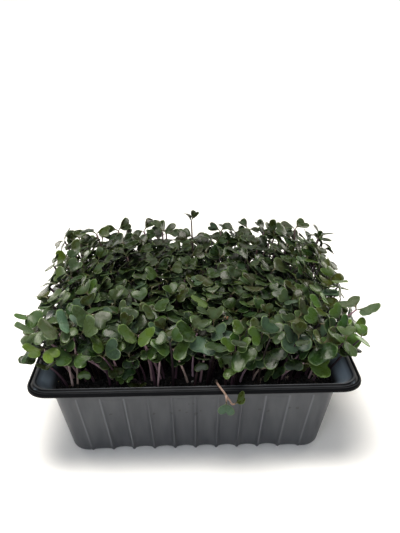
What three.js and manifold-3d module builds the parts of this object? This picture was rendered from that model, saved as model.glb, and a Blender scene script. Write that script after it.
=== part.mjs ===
// Potted red cabbage microgreens: a ribbed grey plastic seed tray, filled with dark growing
// medium and thickly sown with seedlings that each carry two notched seed leaves.
// Millimetres, +Z up. The origin is the middle of the tray's flat base, and the front faces -Y.
import * as THREE from "three";
import { mergeVertices } from "three/addons/utils/BufferGeometryUtils.js";
import Module from "manifold-3d";

const wasm = await Module();
wasm.setup();

// The tray, a half-size seed tray
const TRAY_WIDTH = 230;
const TRAY_DEPTH = 170;
const TRAY_HEIGHT = 67;
const RIM_CORNER = 15;
const BODY_CORNER = 12;
const FLOOR = 1.5;
const BASE_FILLET = 4;

// The outer wall's slope: its inset from the rim's outline at the top of the tray, and how far
// it leans in for each millimetre down
const WALL_INSET = 11.9;
const WALL_LEAN = 0.19;

// Shallow flutes pressed into the wall, with a narrow flat rib between each two
const FLUTE_TOP = 52;
const FLUTE_DEPTH = 3;
const FLUTE_START_DEPTH = 0.7;
const END_FLUTE_SHARE = 0.4;
const RIB_WIDTH = 1.6;
const RIB_PITCH_TOP = 16.65;
const RIB_PITCH_BASE = 15.1;
const RIBS_EACH_SIDE_OF_MIDDLE = { long: 5, short: 3 };
const WALL_LEVELS = [0, 1.2, BASE_FILLET, FLUTE_TOP - 1.5, FLUTE_TOP, 58.5];

// The rim's section, outside to inside and back below: [inset from the outline, height]
const RIM_SECTION = [
  [0, 62.8],
  [0, 65.2],
  [0.6, 65.8],
  [1.3, 65.5],
  [2.2, 65.3],
  [3.4, 66.6],
  [4.4, TRAY_HEIGHT],
  [5.2, TRAY_HEIGHT],
  [12.5, 62.5],
  [16.5, 57],
  [15.6, 52.5],
  [14.8, 55.6],
  [10.8, 59],
  [8.9, 61.4],
  [5, 65.4],
  [3.2, 64.4],
  [1.2, 64.2],
  [1.2, 62.8],
];

// The inside surface, from its floor up and out over the rim's inner slope
const INSIDE_SECTION = [
  [31.5, FLOOR],
  [29.2, 2.6],
  [28, 5.5],
  [17.8, 47.5],
  [16.9, 50.5],
  [16, 53.5],
  [15.2, 55.6],
  [14.2, 57.6],
  [12.4, 59.4],
  [10.2, 62],
  [5.2, 66.8],
  [4.8, 68],
];

// Growing medium
const SOIL_LEVEL = 56;
const SOIL_BUMP = 0.9;
const SOIL_EDGE_DROP = 3;
const GAP = 0.3;
const SOIL_SIDE_LEVELS = [FLOOR + GAP, 3.2, 6, 47.5, 50.5];
const SOIL_TOP_SHARES = [0.94, 0.78, 0.6, 0.4, 0.2];

// Where the seedlings stand: a grid of clumps, each on a small plug of rooted medium
const CLUMP_COLUMNS = 7;
const CLUMP_ROWS = 6;
const CLUMP_SPREAD_X = 85;
const CLUMP_SPREAD_Y = 54.5;
const CLUMP_JITTER = 1.5;
const PLUG_RADIUS = 8;
const PLUG_DEPTH = 8;
const STEM_RING = 4.5;
const STEM_RING_SHARE = [0.75, 1];
const SEEDLINGS_PER_CLUMP = 3;
const TRIES = 200;
const SEED = 20261;

// Canopy: the height of the seed leaves' joints at the front and back edge of the tray
const CANOPY_FRONT = 97;
const CANOPY_BACK = 123;
const CANOPY_SHOULDER = 70;
const CANOPY_SHOULDER_SPAN = 45;
const CANOPY_SHOULDER_FALL = 5;
const LEAN_OUT_X = 0.2;
const LEAN_OUT_Y = 0.24;
const LEAN_WANDER = 7;

// How far below the canopy's height a joint sits: most near the top, the rest shaded below
const UPPER_SHARE = 0.55;
const UPPER_DROP = [-3, 7];
const LOWER_DROP = [7, 26];
const SHADED_DROP = 16;
const SHADED_LEAF_SHARE = 0.85;

// Along the front, joints sit nearer the canopy's height, so that stems and ground show: the
// share of a drop that is left, and the places of a root where it starts and ends to shrink
const FRONT_DROP_SHARE = 0.35;
const FRONT_DROP_START = -32;
const FRONT_DROP_END = -52;

// One seedling
const STEM_HALF = 0.8;
const HEAD_HALF = 0.55;
const BLADE_THICKNESS = 0.7;
const ROOT_SINK = 3;
const STEM_BEND = 1.5;
const STEM_KNEE = 0.45;

// How the leaves of a pair vary: size, bend across and along, rise from level, and swings in
// radians
const LEAF_CUP = [-0.008, 0.028];
const LEAF_ARCH = [0.006, 0.02];
const LEAF_SIZE = [0.74, 1];
const LEAF_UNEVEN = [0.92, 1.08];
const LEAF_RISE = [-0.05, 0.4];
const RISE_WANDER = 0.28;
const TURN_WANDER = 0.25;
const ROLL_WANDER = 0.5;
const TIP_TILT = 0.032;
// Stems that lean back still turn their leaves to the light at the front
const BACK_TURN = -0.5;
const SPOT_WANDER = 0.35;

// Half of a seed leaf's outline from its stalk to its notch: [along, across]
const LEAF_OUTLINE = [
  [4.4, 4.7],
  [9, 8.3],
  [12.8, 5.2],
];
const LEAF_NOTCH = 11.4;

// Points spread over a leaf and along a stem, each with the room it keeps round it
const LEAF_SAMPLES = [
  [3, 0],
  [6, 2.6],
  [6, -2.6],
  [8.5, 0],
  [8.2, 5.8],
  [8.2, -5.8],
  [10.8, 2.8],
  [10.8, -2.8],
  [10.2, 7],
  [10.2, -7],
  [12.4, 4.8],
  [12.4, -4.8],
];
const STEM_SAMPLES = 14;
const LEAF_ROOM = 1.75;
const STEM_ROOM = 1.6;
const WALL_CLEAR = 0.5;
const SOIL_CLEAR = 4;

// Seedlings that stand out of the canopy at its back, each by the place of its leaf joint
const OUTLIERS = [
  { at: [0, 60, 140], turn: 25, size: 0.55, rise: 45 },
  { at: [-24, 58, 131], turn: 160, size: 0.8, rise: 25 },
  { at: [24, 60, 130], turn: 10, size: 0.75, rise: 30 },
  { at: [86, 60, 131], turn: 5, size: 0.85, rise: 15 },
  { at: [106, 56, 124], turn: 30, size: 0.8, rise: 20 },
  { at: [-80, 62, 129], turn: 170, size: 0.9, rise: 15 },
];

// Seedlings that lean out along the front, where each leaf is plain to see: the place of the
// leaf joint, and the azimuth, rise and roll in degrees and the size of its two leaves
const FRONT_ROW = [
  { at: [24.8, -72, 89.6], leaves: [[-46, -8, 35, 1.3], [-121, -56, -10, 0.85]] },
  { at: [-101.4, -74, 94.3], leaves: [[-123, 19, -25, 1], [-31, -14, 15, 0.85]] },
  { at: [67.7, -58, 98.1], leaves: [[-83, -16, 10, 1.4], [122, 3, -20, 0.8]] },
  { at: [40.4, -60, 92.7], leaves: [[-155, 32, -50, 1.3], [-61, 7, 40, 0.95]] },
  { at: [-15, -70, 91.7], leaves: [[-133, 28, -35, 1.05], [-46, 13, 35, 1]] },
  { at: [-107.3, -64, 101.9], leaves: [[-120, 32, -20, 0.95], [-46, -15, 20, 0.9]] },
  { at: [10, -60, 96.5], leaves: [[-106, -17, -15, 1.3], [-41, 22, 30, 1.05]] },
  { at: [45.8, -50, 93.6], leaves: [[39, 6, 60, 1.35], [-134, 13, -30, 0.85]] },
  { at: [81.7, -44, 100.8], leaves: [[40, -4, 50, 1.3], [-135, 8, -30, 0.9]] },
  { at: [81.7, -64, 88.5], leaves: [[-69, -5, 25, 1.3], [-177, -26, -15, 0.9]] },
  { at: [96.8, -60, 91.5], leaves: [[-24, -9, 12, 1.3], [-133, 2, -20, 0.85]] },
  { at: [-81.9, -68, 89.8], leaves: [[-138, 10, -20, 1.2], [-40, -5, 20, 1]] },
  { at: [0.8, -62, 97.4], leaves: [[-136, 17, -30, 1.15], [70, 27, 10, 1]] },
  { at: [64.6, -47, 92.4], leaves: [[70, 26, -10, 1.15], [-131, 0, -30, 0.95]] },
  { at: [-93.5, -60, 98.8], leaves: [[-124, 30, -35, 1.15], [-37, 0, 20, 0.9]] },
  { at: [-71.2, -50, 108.6], leaves: [[-124, 11, -50, 1.1], [-33, -10, 35, 1.05]] },
  { at: [116.5, -45, 106.1], leaves: [[-57, 12, 10, 1.05], [120, 15, -20, 1.1]] },
  { at: [20.8, -44, 99.7], leaves: [[128, -6, -35, 1], [36, -1, 40, 1.1]] },
  { at: [-15.9, -50, 95.7], leaves: [[69, 13, 15, 1.15], [175, 5, -20, 0.8]] },
  { at: [50.9, -68, 89.1], leaves: [[-53, -7, 25, 1.15], [-148, 7, -20, 0.8]] },
  { at: [-21.2, -55, 99.2], leaves: [[-123, 13, -20, 0.9], [-40, -6, 30, 1.1]] },
  { at: [-36.7, -66, 97.7], leaves: [[-132, 19, -35, 1.05], [-43, 4, 35, 1]] },
  { at: [-36.1, -57, 95.1], leaves: [[118, 20, 0, 1.1], [10, 12, 20, 0.8]] },
  { at: [36.6, -60, 87.3], leaves: [[-78, -21, 10, 1.05], [-186, -7, -15, 0.85]] },
  { at: [-84.6, -56, 102.6], leaves: [[-121, 28, -55, 1.05], [62, 1, 20, 0.8]] },
  { at: [-59.2, -66, 91.2], leaves: [[-134, 36, -35, 1], [-44, 2, 30, 0.95]] },
  { at: [-54.8, -52, 96], leaves: [[-119, 15, -30, 1], [68, 5, 20, 0.9]] },
  { at: [90.2, -50, 94.2], leaves: [[-46, 12, 60, 0.9], [-131, -1, -30, 0.9]] },
  { at: [-117, -50, 108.8], leaves: [[-98, 10, -20, 0.6], [-28, -13, 25, 0.9]] },
  { at: [110.9, -52, 94], leaves: [[-42, 26, 60, 0.85], [120, 12, -30, 0.6]] },
  { at: [27.9, -70, 95], leaves: [[-135, 11, -30, 0.8], [-42, 4, 30, 0.75]] },
];
const FRONT_ROW_WANDER = 4;

// The seedling that has fallen forward over the rim: its stem's path down to the first leaf,
// the second leaf's stalk that forks off it, and the two leaves with their turns in degrees
const FALLEN_STEM = [
  [14.5, -56, 53.5],
  [15.1, -63, 60.5],
  [15.2, -72, 64.4],
  [15.3, -79.8, 68.3],
  [16.8, -83.4, 67.8],
  [19, -86.6, 66.3],
  [20.6, -88.4, 64.6],
  [23.3, -90, 60.9],
  [24.6, -91, 59.1],
  [26.4, -91.2, 59.5],
];
const FALLEN_FORK = [
  [20.6, -88.4, 64.6],
  [20.9, -89.2, 62.4],
  [20.8, -89.6, 60.6],
];
const FALLEN_LEAVES = [
  { azimuth: -2, rise: 40, roll: 9, size: 0.66, cup: 0.02, arch: -0.01 },
  { azimuth: -98, rise: -78, roll: 0, size: 0.7, cup: -0.02, arch: 0 },
];
const FALLEN_HOLE = [5, 9, 8];
const FALLEN_HOLE_AHEAD = 2.5;

function seededRandom(seed) {
  let state = seed;
  return () => {
    state = (state * 48271) % 2147483647;
    return state / 2147483647;
  };
}

const between = (random, low, high) => low + (high - low) * random();
const radians = (degrees) => (degrees * Math.PI) / 180;
const mix = (a, b, share) => a + (b - a) * share;

// A section's inset at a height, by straight lines between its points
function insetAt(section, z) {
  const above = section.findIndex((point) => point[1] >= z);
  if (above <= 0) return section[above === 0 ? 0 : section.length - 1][0];
  const [low, high] = [section[above - 1], section[above]];
  return mix(low[0], high[0], (z - low[1]) / (high[1] - low[1]));
}

// A rounded rectangle inside the rim's outline, counter-clockwise from above. Each side may
// have more points: steps(side) lists them as [place along the side, depth into it].
function outline(inset, z, radius, steps = () => [], arcSteps = 6) {
  const halves = [TRAY_WIDTH / 2 - inset, TRAY_DEPTH / 2 - inset];
  const points = [];
  for (let side = 0; side < 4; side++) {
    const out = new THREE.Vector2(1, 0).rotateAround(new THREE.Vector2(), (side * Math.PI) / 2);
    const along = new THREE.Vector2(-out.y, out.x);
    const [reach, run] = side % 2 === 0 ? halves : [halves[1], halves[0]];
    for (const [place, depth] of steps(side)) {
      const flat = out.clone().multiplyScalar(reach - depth).addScaledVector(along, place);
      points.push(new THREE.Vector3(flat.x, flat.y, z));
    }
    const centre = out.clone().multiplyScalar(reach - radius).addScaledVector(along, run - radius);
    for (let step = 0; step <= arcSteps; step++) {
      const angle = ((step / arcSteps) * Math.PI) / 2;
      const flat = centre
        .clone()
        .addScaledVector(out, radius * Math.cos(angle))
        .addScaledVector(along, radius * Math.sin(angle));
      points.push(new THREE.Vector3(flat.x, flat.y, z));
    }
  }
  return points;
}

const cornerAt = (inset) => Math.max(RIM_CORNER - inset * 0.7, BODY_CORNER);

function geometryFrom(positions, faces) {
  const geometry = new THREE.BufferGeometry();
  geometry.setAttribute("position", new THREE.Float32BufferAttribute(positions, 3));
  geometry.setIndex(faces);
  return geometry;
}

// Rings joined one to the next, either capped at both ends or closed on itself as a frame
function loft(rings, closed = false) {
  const count = rings[0].length;
  const positions = rings.flat().flatMap((point) => point.toArray());
  const faces = [];
  const spans = closed ? rings.length : rings.length - 1;
  for (let i = 0; i < spans; i++) {
    const low = i * count;
    const high = ((i + 1) % rings.length) * count;
    for (let j = 0; j < count; j++) {
      const next = (j + 1) % count;
      faces.push(low + j, low + next, high + next, low + j, high + next, high + j);
    }
  }
  if (!closed) {
    const top = (rings.length - 1) * count;
    const middles = [rings[0], rings[rings.length - 1]].map((ring) => {
      const middle = new THREE.Vector3();
      ring.forEach((point) => middle.add(point));
      positions.push(...middle.divideScalar(count).toArray());
      return positions.length / 3 - 1;
    });
    for (let j = 0; j < count; j++) {
      const next = (j + 1) % count;
      faces.push(middles[0], next, j, middles[1], top + j, top + next);
    }
  }
  return geometryFrom(positions, faces);
}

function solidOf(geometry) {
  const bare = geometry.clone();
  bare.deleteAttribute("normal");
  bare.deleteAttribute("uv");
  const merged = mergeVertices(bare, 1e-4);
  return new wasm.Manifold(
    new wasm.Mesh({
      numProp: 3,
      vertProperties: merged.attributes.position.array,
      triVerts: new Uint32Array(merged.index.array),
    }),
  );
}

function geometryOf(solid) {
  const mesh = solid.getMesh();
  return geometryFrom(Array.from(mesh.vertProperties), Array.from(mesh.triVerts));
}

// Tray

function fluteSteps(ribs, z) {
  const pitch = mix(RIB_PITCH_BASE, RIB_PITCH_TOP, z / FLUTE_TOP);
  const ramp = (FLUTE_TOP - z) / FLUTE_TOP;
  const depth = z >= FLUTE_TOP ? 0 : mix(FLUTE_START_DEPTH, FLUTE_DEPTH, ramp);
  const steps = [];
  for (let k = -ribs; k <= ribs; k++) {
    steps.push([k * pitch - RIB_WIDTH / 2, 0], [k * pitch + RIB_WIDTH / 2, 0]);
    if (k === ribs) continue;
    const share = k === -ribs || k === ribs - 1 ? END_FLUTE_SHARE : 1;
    steps.push([(k + 1 / 3) * pitch, depth * share], [(k + 2 / 3) * pitch, depth * share]);
  }
  return steps;
}

function wallRing(z) {
  const turn = z < BASE_FILLET ? Math.acos(1 - z / BASE_FILLET) : Math.PI / 2;
  const tuck = BASE_FILLET * (1 - Math.sin(turn));
  const inset = WALL_INSET + WALL_LEAN * (TRAY_HEIGHT - z) + tuck;
  const { long, short } = RIBS_EACH_SIDE_OF_MIDDLE;
  return outline(inset, z, BODY_CORNER - tuck, (side) => fluteSteps(side % 2 ? long : short, z));
}

function trayGeometry() {
  const wall = loft(WALL_LEVELS.map(wallRing));
  const rim = loft(RIM_SECTION.map(([inset, z]) => outline(inset, z, cornerAt(inset))), true);
  const inside = loft(INSIDE_SECTION.map(([inset, z]) => outline(inset, z, cornerAt(inset))));
  return geometryOf(solidOf(wall).add(solidOf(rim)).subtract(solidOf(inside)));
}

// Growing medium

function soilHeight(x, y) {
  const waves = Math.sin(0.21 * x + 1.3) * Math.cos(0.27 * y) + 0.6 * Math.sin(0.53 * x - 0.41 * y);
  return SOIL_LEVEL + SOIL_BUMP * waves;
}

function soilRing(inset, z) {
  return outline(inset, z, cornerAt(inset), () => [], 3);
}

function soilSolid(clumps) {
  const sides = SOIL_SIDE_LEVELS.map((z) => soilRing(insetAt(INSIDE_SECTION, z) + GAP * 1.5, z));
  const edgeHeight = SOIL_LEVEL - SOIL_EDGE_DROP;
  const edge = soilRing(insetAt(INSIDE_SECTION, edgeHeight) + GAP * 2, edgeHeight);
  const top = SOIL_TOP_SHARES.map((share) =>
    edge.map((point) => {
      const [x, y] = [point.x * share, point.y * share];
      return new THREE.Vector3(x, y, soilHeight(x, y));
    }),
  );
  let soil = solidOf(loft([...sides, edge, ...top]));
  for (const clump of clumps) {
    soil = soil.subtract(solidOf(plugGeometry(clump, PLUG_RADIUS + GAP, PLUG_DEPTH + GAP, 6)));
  }
  return soil;
}

function plugGeometry({ x, y }, radius, depth, over) {
  const height = depth + over;
  const prism = new THREE.CylinderGeometry(radius, radius, height, 6);
  prism.rotateX(Math.PI / 2);
  return prism.translate(x, y, soilHeight(x, y) + over - height / 2);
}

// Seedlings

// The frame of one leaf at its joint: along the leaf, across it, and out of its upper face
function leafFrame(leaf) {
  const flat = new THREE.Vector3(Math.cos(leaf.azimuth), Math.sin(leaf.azimuth), 0);
  const up = new THREE.Vector3(0, 0, 1);
  const level = new THREE.Vector3().crossVectors(up, flat);
  const swing = (from, to, turn) =>
    from.clone().multiplyScalar(Math.cos(turn)).addScaledVector(to, Math.sin(turn));
  const along = swing(flat, up, leaf.rise);
  const across = swing(level, new THREE.Vector3().crossVectors(along, level), leaf.roll);
  return { along, across, face: new THREE.Vector3().crossVectors(along, across) };
}

function leafPoint(joint, leaf, frame, u, v) {
  const [along, across] = [u * leaf.size, v * leaf.size];
  const lift = leaf.cup * across * across - leaf.arch * along * along;
  return joint
    .clone()
    .addScaledVector(frame.along, along + HEAD_HALF)
    .addScaledVector(frame.across, across)
    .addScaledVector(frame.face, lift);
}

function stemPoint(seedling, share) {
  const { root, joint } = seedling;
  const bend = share ** STEM_BEND;
  return new THREE.Vector3(
    mix(root.x, joint.x, bend),
    mix(root.y, joint.y, bend),
    mix(root.z, joint.z, share),
  );
}

// Points that stand for a seedling where it is tested for room
function samplesOf(seedling) {
  const samples = [];
  for (let i = 1; i <= STEM_SAMPLES; i++) {
    samples.push({ at: stemPoint(seedling, i / STEM_SAMPLES), room: STEM_ROOM });
  }
  for (const leaf of seedling.leaves) {
    const frame = leafFrame(leaf);
    for (const [u, v] of LEAF_SAMPLES) {
      samples.push({ at: leafPoint(seedling.joint, leaf, frame, u, v), room: LEAF_ROOM });
    }
  }
  return samples;
}

function hasRoom(samples, taken) {
  const clearOfTray = ({ at, room }) => {
    const inset = Math.min(TRAY_WIDTH / 2 - Math.abs(at.x), TRAY_DEPTH / 2 - Math.abs(at.y));
    const margin = room + WALL_CLEAR;
    if (at.z < TRAY_HEIGHT + margin && inset < insetAt(INSIDE_SECTION, at.z) + margin) return false;
    return room === STEM_ROOM || at.z > SOIL_LEVEL + SOIL_CLEAR + room;
  };
  if (!samples.every(clearOfTray)) return false;
  return samples.every(({ at, room }) =>
    taken.every((other) => at.distanceToSquared(other.at) > (room + other.room) ** 2),
  );
}

// The canopy's height over a place, lower at its left and right edges
function canopyHeight(x, y) {
  const shoulder = Math.max(Math.abs(x) - CANOPY_SHOULDER, 0) / CANOPY_SHOULDER_SPAN;
  const flat = mix(CANOPY_FRONT, CANOPY_BACK, (y + TRAY_DEPTH / 2) / TRAY_DEPTH);
  return flat - CANOPY_SHOULDER_FALL * shoulder ** 2;
}

// Two leaves on opposite sides of the joint, tipped with the stem's lean
function leafPair(random, turn, size, rise, tip) {
  const lean = { x: tip.x, y: tip.y > 0 ? BACK_TURN * tip.y : tip.y };
  return [0, Math.PI].map((half) => {
    const azimuth = turn + half + between(random, -TURN_WANDER, TURN_WANDER);
    const ahead = lean.x * Math.cos(azimuth) + lean.y * Math.sin(azimuth);
    const aside = lean.x * Math.sin(azimuth) - lean.y * Math.cos(azimuth);
    return {
      azimuth,
      rise: rise - TIP_TILT * ahead + between(random, -RISE_WANDER, RISE_WANDER),
      roll: TIP_TILT * aside + between(random, -ROLL_WANDER, ROLL_WANDER),
      size: size * between(random, ...LEAF_UNEVEN),
      ...leafBend(random),
    };
  });
}

function leafBend(random) {
  return { cup: between(random, ...LEAF_CUP), arch: between(random, ...LEAF_ARCH) };
}

// A stem's foot on its clump's plug, in the direction (x, y) from the plug's middle
function rootAt(clump, x, y, share) {
  const reach = STEM_RING * share;
  const foot = soilHeight(clump.x, clump.y) - ROOT_SINK;
  return new THREE.Vector3(clump.x + reach * x, clump.y + reach * y, foot);
}

// How much of a joint's drop is left for a root at a distance from the front
function dropShare(y) {
  const share = (FRONT_DROP_START - y) / (FRONT_DROP_START - FRONT_DROP_END);
  return mix(1, FRONT_DROP_SHARE, Math.min(Math.max(share, 0), 1));
}

function drawSeedling(random, clump, index) {
  const wander = between(random, -SPOT_WANDER, SPOT_WANDER);
  const spot = clump.turn + (index / SEEDLINGS_PER_CLUMP) * 2 * Math.PI + wander;
  const share = between(random, ...STEM_RING_SHARE);
  const root = rootAt(clump, Math.cos(spot), Math.sin(spot), share);
  const tip = new THREE.Vector2(
    root.x * LEAN_OUT_X + between(random, -LEAN_WANDER, LEAN_WANDER),
    root.y * LEAN_OUT_Y + between(random, -LEAN_WANDER, LEAN_WANDER),
  );
  const [x, y] = [root.x + tip.x, root.y + tip.y];
  const layer = random() < UPPER_SHARE ? UPPER_DROP : LOWER_DROP;
  const drop = between(random, ...layer) * dropShare(root.y);
  const joint = new THREE.Vector3(x, y, canopyHeight(x, y) - drop);
  const turn = between(random, 0, Math.PI);
  const size = between(random, ...LEAF_SIZE) * (drop > SHADED_DROP ? SHADED_LEAF_SHARE : 1);
  return { root, joint, leaves: leafPair(random, turn, size, between(random, ...LEAF_RISE), tip) };
}

function drawOutlier(random, clump, { at, turn, size, rise }) {
  const joint = new THREE.Vector3(...at);
  const away = new THREE.Vector2(at[0] - clump.x, at[1] - clump.y).normalize();
  const root = rootAt(clump, away.x, away.y, 1);
  const leaves = leafPair(random, radians(turn), size, radians(rise), new THREE.Vector2());
  return { root, joint, leaves };
}

// A seedling of the front row, strayed further from its place the more tries it has had
function drawFrontRow(random, clump, { at, leaves }, stray) {
  const wander = FRONT_ROW_WANDER * stray;
  const joint = new THREE.Vector3(...at.map((value) => value + between(random, -wander, wander)));
  const spot = between(random, 0, 2 * Math.PI);
  const root = rootAt(clump, Math.cos(spot), Math.sin(spot), 1);
  const pair = leaves.map(([azimuth, rise, roll, size]) => ({
    azimuth: radians(azimuth),
    rise: radians(rise),
    roll: radians(roll),
    size,
    ...leafBend(random),
  }));
  return { root, joint, leaves: pair };
}

function clumpSites(random) {
  const sites = [];
  for (let row = 0; row < CLUMP_ROWS; row++) {
    for (let column = 0; column < CLUMP_COLUMNS; column++) {
      sites.push({
        name: `seedling_clump_${row + 1}_${column + 1}`,
        x: mix(-CLUMP_SPREAD_X, CLUMP_SPREAD_X, column / (CLUMP_COLUMNS - 1)) +
          between(random, -CLUMP_JITTER, CLUMP_JITTER),
        y: mix(-CLUMP_SPREAD_Y, CLUMP_SPREAD_Y, row / (CLUMP_ROWS - 1)) +
          between(random, -CLUMP_JITTER, CLUMP_JITTER),
        turn: between(random, 0, Math.PI),
        seedlings: [],
      });
    }
  }
  return sites;
}

function nearestSite(sites, [x, y]) {
  const far = (site) =>
    (site.x * (1 + LEAN_OUT_X) - x) ** 2 + (site.y * (1 + LEAN_OUT_Y) - y) ** 2;
  return sites.reduce((best, site) => (far(site) < far(best) ? site : best));
}

// Every clump with its seedlings, none of them touching another
function sowClumps() {
  const random = seededRandom(SEED);
  const sites = clumpSites(random);
  const taken = fallenSamples();
  const keep = (site, seedling) => {
    const samples = samplesOf(seedling);
    if (!hasRoom(samples, taken)) return false;
    taken.push(...samples);
    site.seedlings.push(seedling);
    return true;
  };
  for (const outlier of OUTLIERS) {
    const site = nearestSite(sites, outlier.at);
    for (let attempt = 0; attempt < TRIES; attempt++) {
      if (keep(site, drawOutlier(random, site, outlier))) break;
    }
  }
  for (const placed of FRONT_ROW) {
    const site = nearestSite(sites, placed.at);
    for (let attempt = 0; attempt < TRIES; attempt++) {
      if (keep(site, drawFrontRow(random, site, placed, attempt / TRIES))) break;
    }
  }
  for (const site of sites) {
    for (let index = site.seedlings.length; index < SEEDLINGS_PER_CLUMP; index++) {
      for (let attempt = 0; attempt < TRIES; attempt++) {
        if (keep(site, drawSeedling(random, site, index))) break;
      }
    }
  }
  return sites;
}

// The fallen seedling's two stalks, each with the leaf at its end
function fallenStalks() {
  return [FALLEN_STEM, FALLEN_FORK].map((path, index) => {
    const leaf = { ...FALLEN_LEAVES[index] };
    for (const turn of ["azimuth", "rise", "roll"]) leaf[turn] = radians(leaf[turn]);
    return { path: path.map((point) => new THREE.Vector3(...point)), leaf };
  });
}

function fallenSamples() {
  return fallenStalks().flatMap(({ path, leaf }) => {
    const joint = path[path.length - 1];
    const frame = leafFrame(leaf);
    return [
      ...path.map((at) => ({ at, room: STEM_ROOM })),
      ...LEAF_SAMPLES.map(([u, v]) => ({ at: leafPoint(joint, leaf, frame, u, v), room: LEAF_ROOM })),
    ];
  });
}

// A mesh in the making
function meshDraft() {
  const positions = [];
  const faces = [];
  const add = (point) => positions.push(...point.toArray()) / 3 - 1;
  const quad = (a, b, c, d) => faces.push(a, b, c, a, c, d);
  return { positions, faces, add, quad };
}

// Four-cornered rings joined one to the next, with the first one capped
function addStalk({ quad }, rings) {
  for (let i = 0; i + 1 < rings.length; i++) {
    const [low, high] = [rings[i], rings[i + 1]];
    for (let j = 0; j < 4; j++) quad(low[j], low[(j + 1) % 4], high[(j + 1) % 4], high[j]);
  }
  quad(...rings[0].slice().reverse());
}

// A leaf's blade, run on from the [upper, lower] corners at its stalk's right and left
function addBlade({ faces, add, quad }, joint, leaf, right, left) {
  const frame = leafFrame(leaf);
  const half = BLADE_THICKNESS / 2;
  const pair = (u, v) => {
    const point = leafPoint(joint, leaf, frame, u, v);
    return [half, -half].map((lift) => add(point.clone().addScaledVector(frame.face, lift)));
  };
  const [r1, r2, r3] = LEAF_OUTLINE.map(([u, v]) => pair(u, -v));
  const [l1, l2, l3] = LEAF_OUTLINE.map(([u, v]) => pair(u, v));
  const notch = pair(LEAF_NOTCH, 0);
  const upper = [
    [right, r1, l1],
    [right, l1, left],
    [r1, notch, l1],
    [r1, r2, notch],
    [r2, r3, notch],
    [l1, notch, l2],
    [l2, notch, l3],
  ];
  for (const [a, b, c] of upper) {
    faces.push(a[0], b[0], c[0], a[1], c[1], b[1]);
  }
  const edge = [right, r1, r2, r3, notch, l3, l2, l1, left];
  for (let i = 0; i + 1 < edge.length; i++) {
    const [from, to] = [edge[i], edge[i + 1]];
    quad(from[1], to[1], to[0], from[0]);
  }
}

// One seedling as a single closed mesh: a four-sided stem whose head carries both leaves
function seedlingGeometry(seedling) {
  const { joint, leaves } = seedling;
  const [one, other] = leaves.map(({ azimuth }) =>
    new THREE.Vector3(Math.cos(azimuth), Math.sin(azimuth), 0),
  );
  const ahead = one.sub(other).normalize();
  const aside = new THREE.Vector3(-ahead.y, ahead.x, 0);
  const draft = meshDraft();
  const corners = [[1, -1], [1, 1], [-1, 1], [-1, -1]];
  const ring = (middle, half, lift) =>
    corners.map(([front, side]) => {
      const corner = middle.clone().addScaledVector(ahead, front * half);
      corner.addScaledVector(aside, side * half);
      corner.z += lift;
      return draft.add(corner);
    });
  const stem = [0, STEM_KNEE].map((share) => ring(stemPoint(seedling, share), STEM_HALF, 0));
  const neck = ring(joint, HEAD_HALF, -BLADE_THICKNESS / 2);
  const head = ring(joint, HEAD_HALF, BLADE_THICKNESS / 2);
  addStalk(draft, [...stem, neck]);
  draft.quad(...head);
  draft.quad(neck[1], neck[2], head[2], head[1]);
  draft.quad(neck[3], neck[0], head[0], head[3]);
  const corner = (index) => [head[index], neck[index]];
  addBlade(draft, joint, leaves[0], corner(0), corner(1));
  addBlade(draft, joint, leaves[1], corner(2), corner(3));
  return geometryFrom(draft.positions, draft.faces);
}

// A stalk along a path that runs on into one leaf, as a single closed mesh
function stalkedLeafGeometry({ path, leaf }) {
  const end = leafFrame(leaf);
  const draft = meshDraft();
  const rings = path.map((point, index) => {
    const before = path[Math.max(index - 1, 0)];
    const after = path[index + 1];
    const ahead = after ? after.clone().sub(before).normalize() : end.along;
    const aside = end.across.clone().addScaledVector(ahead, -end.across.dot(ahead)).normalize();
    const above = new THREE.Vector3().crossVectors(ahead, aside);
    const [wide, thick] = after ? [STEM_HALF, STEM_HALF] : [HEAD_HALF, BLADE_THICKNESS / 2];
    return [[1, -1], [1, 1], [-1, 1], [-1, -1]].map(([side, up]) =>
      draft.add(point.clone().addScaledVector(aside, side * wide).addScaledVector(above, up * thick)),
    );
  });
  addStalk(draft, rings);
  const last = rings[rings.length - 1];
  addBlade(draft, path[path.length - 1], leaf, [last[2], last[3]], [last[1], last[0]]);
  return geometryFrom(draft.positions, draft.faces);
}

function fallenGeometry() {
  const [stem, fork] = fallenStalks().map((stalk) => solidOf(stalkedLeafGeometry(stalk)));
  return geometryOf(stem.add(fork));
}

function clumpGeometry(clump) {
  const plug = solidOf(plugGeometry(clump, PLUG_RADIUS, PLUG_DEPTH, 0));
  const whole = clump.seedlings.reduce(
    (solid, seedling) => solid.add(solidOf(seedlingGeometry(seedling))),
    plug,
  );
  return geometryOf(whole);
}

// Assembly

const FINISH = {
  tray: { color: "#43474a", roughness: 0.42, metalness: 0 },
  soil: { color: "#17130f", roughness: 0.95, metalness: 0 },
  seedling: { color: "#4d6b4e", roughness: 0.45, metalness: 0 },
};

function named(name, geometry, finish) {
  const mesh = new THREE.Mesh(geometry, new THREE.MeshStandardMaterial(finish));
  mesh.name = name;
  return mesh;
}

const clumps = sowClumps();
const plant = new THREE.Group();
plant.add(...clumps.map((clump) => named(clump.name, clumpGeometry(clump), FINISH.seedling)));

plant.add(named("fallen_seedling", fallenGeometry(), FINISH.seedling));

const [holeX, holeY] = FALLEN_STEM[0];
const hole = new THREE.BoxGeometry(...FALLEN_HOLE);
hole.translate(holeX, holeY - FALLEN_HOLE_AHEAD, SOIL_LEVEL + GAP);
const soil = soilSolid(clumps).subtract(solidOf(hole));
const potted = new THREE.Group();
potted.add(named("tray", trayGeometry(), FINISH.tray));
potted.add(named("growing_medium", geometryOf(soil), FINISH.soil));
potted.add(plant);

export default potted;
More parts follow.
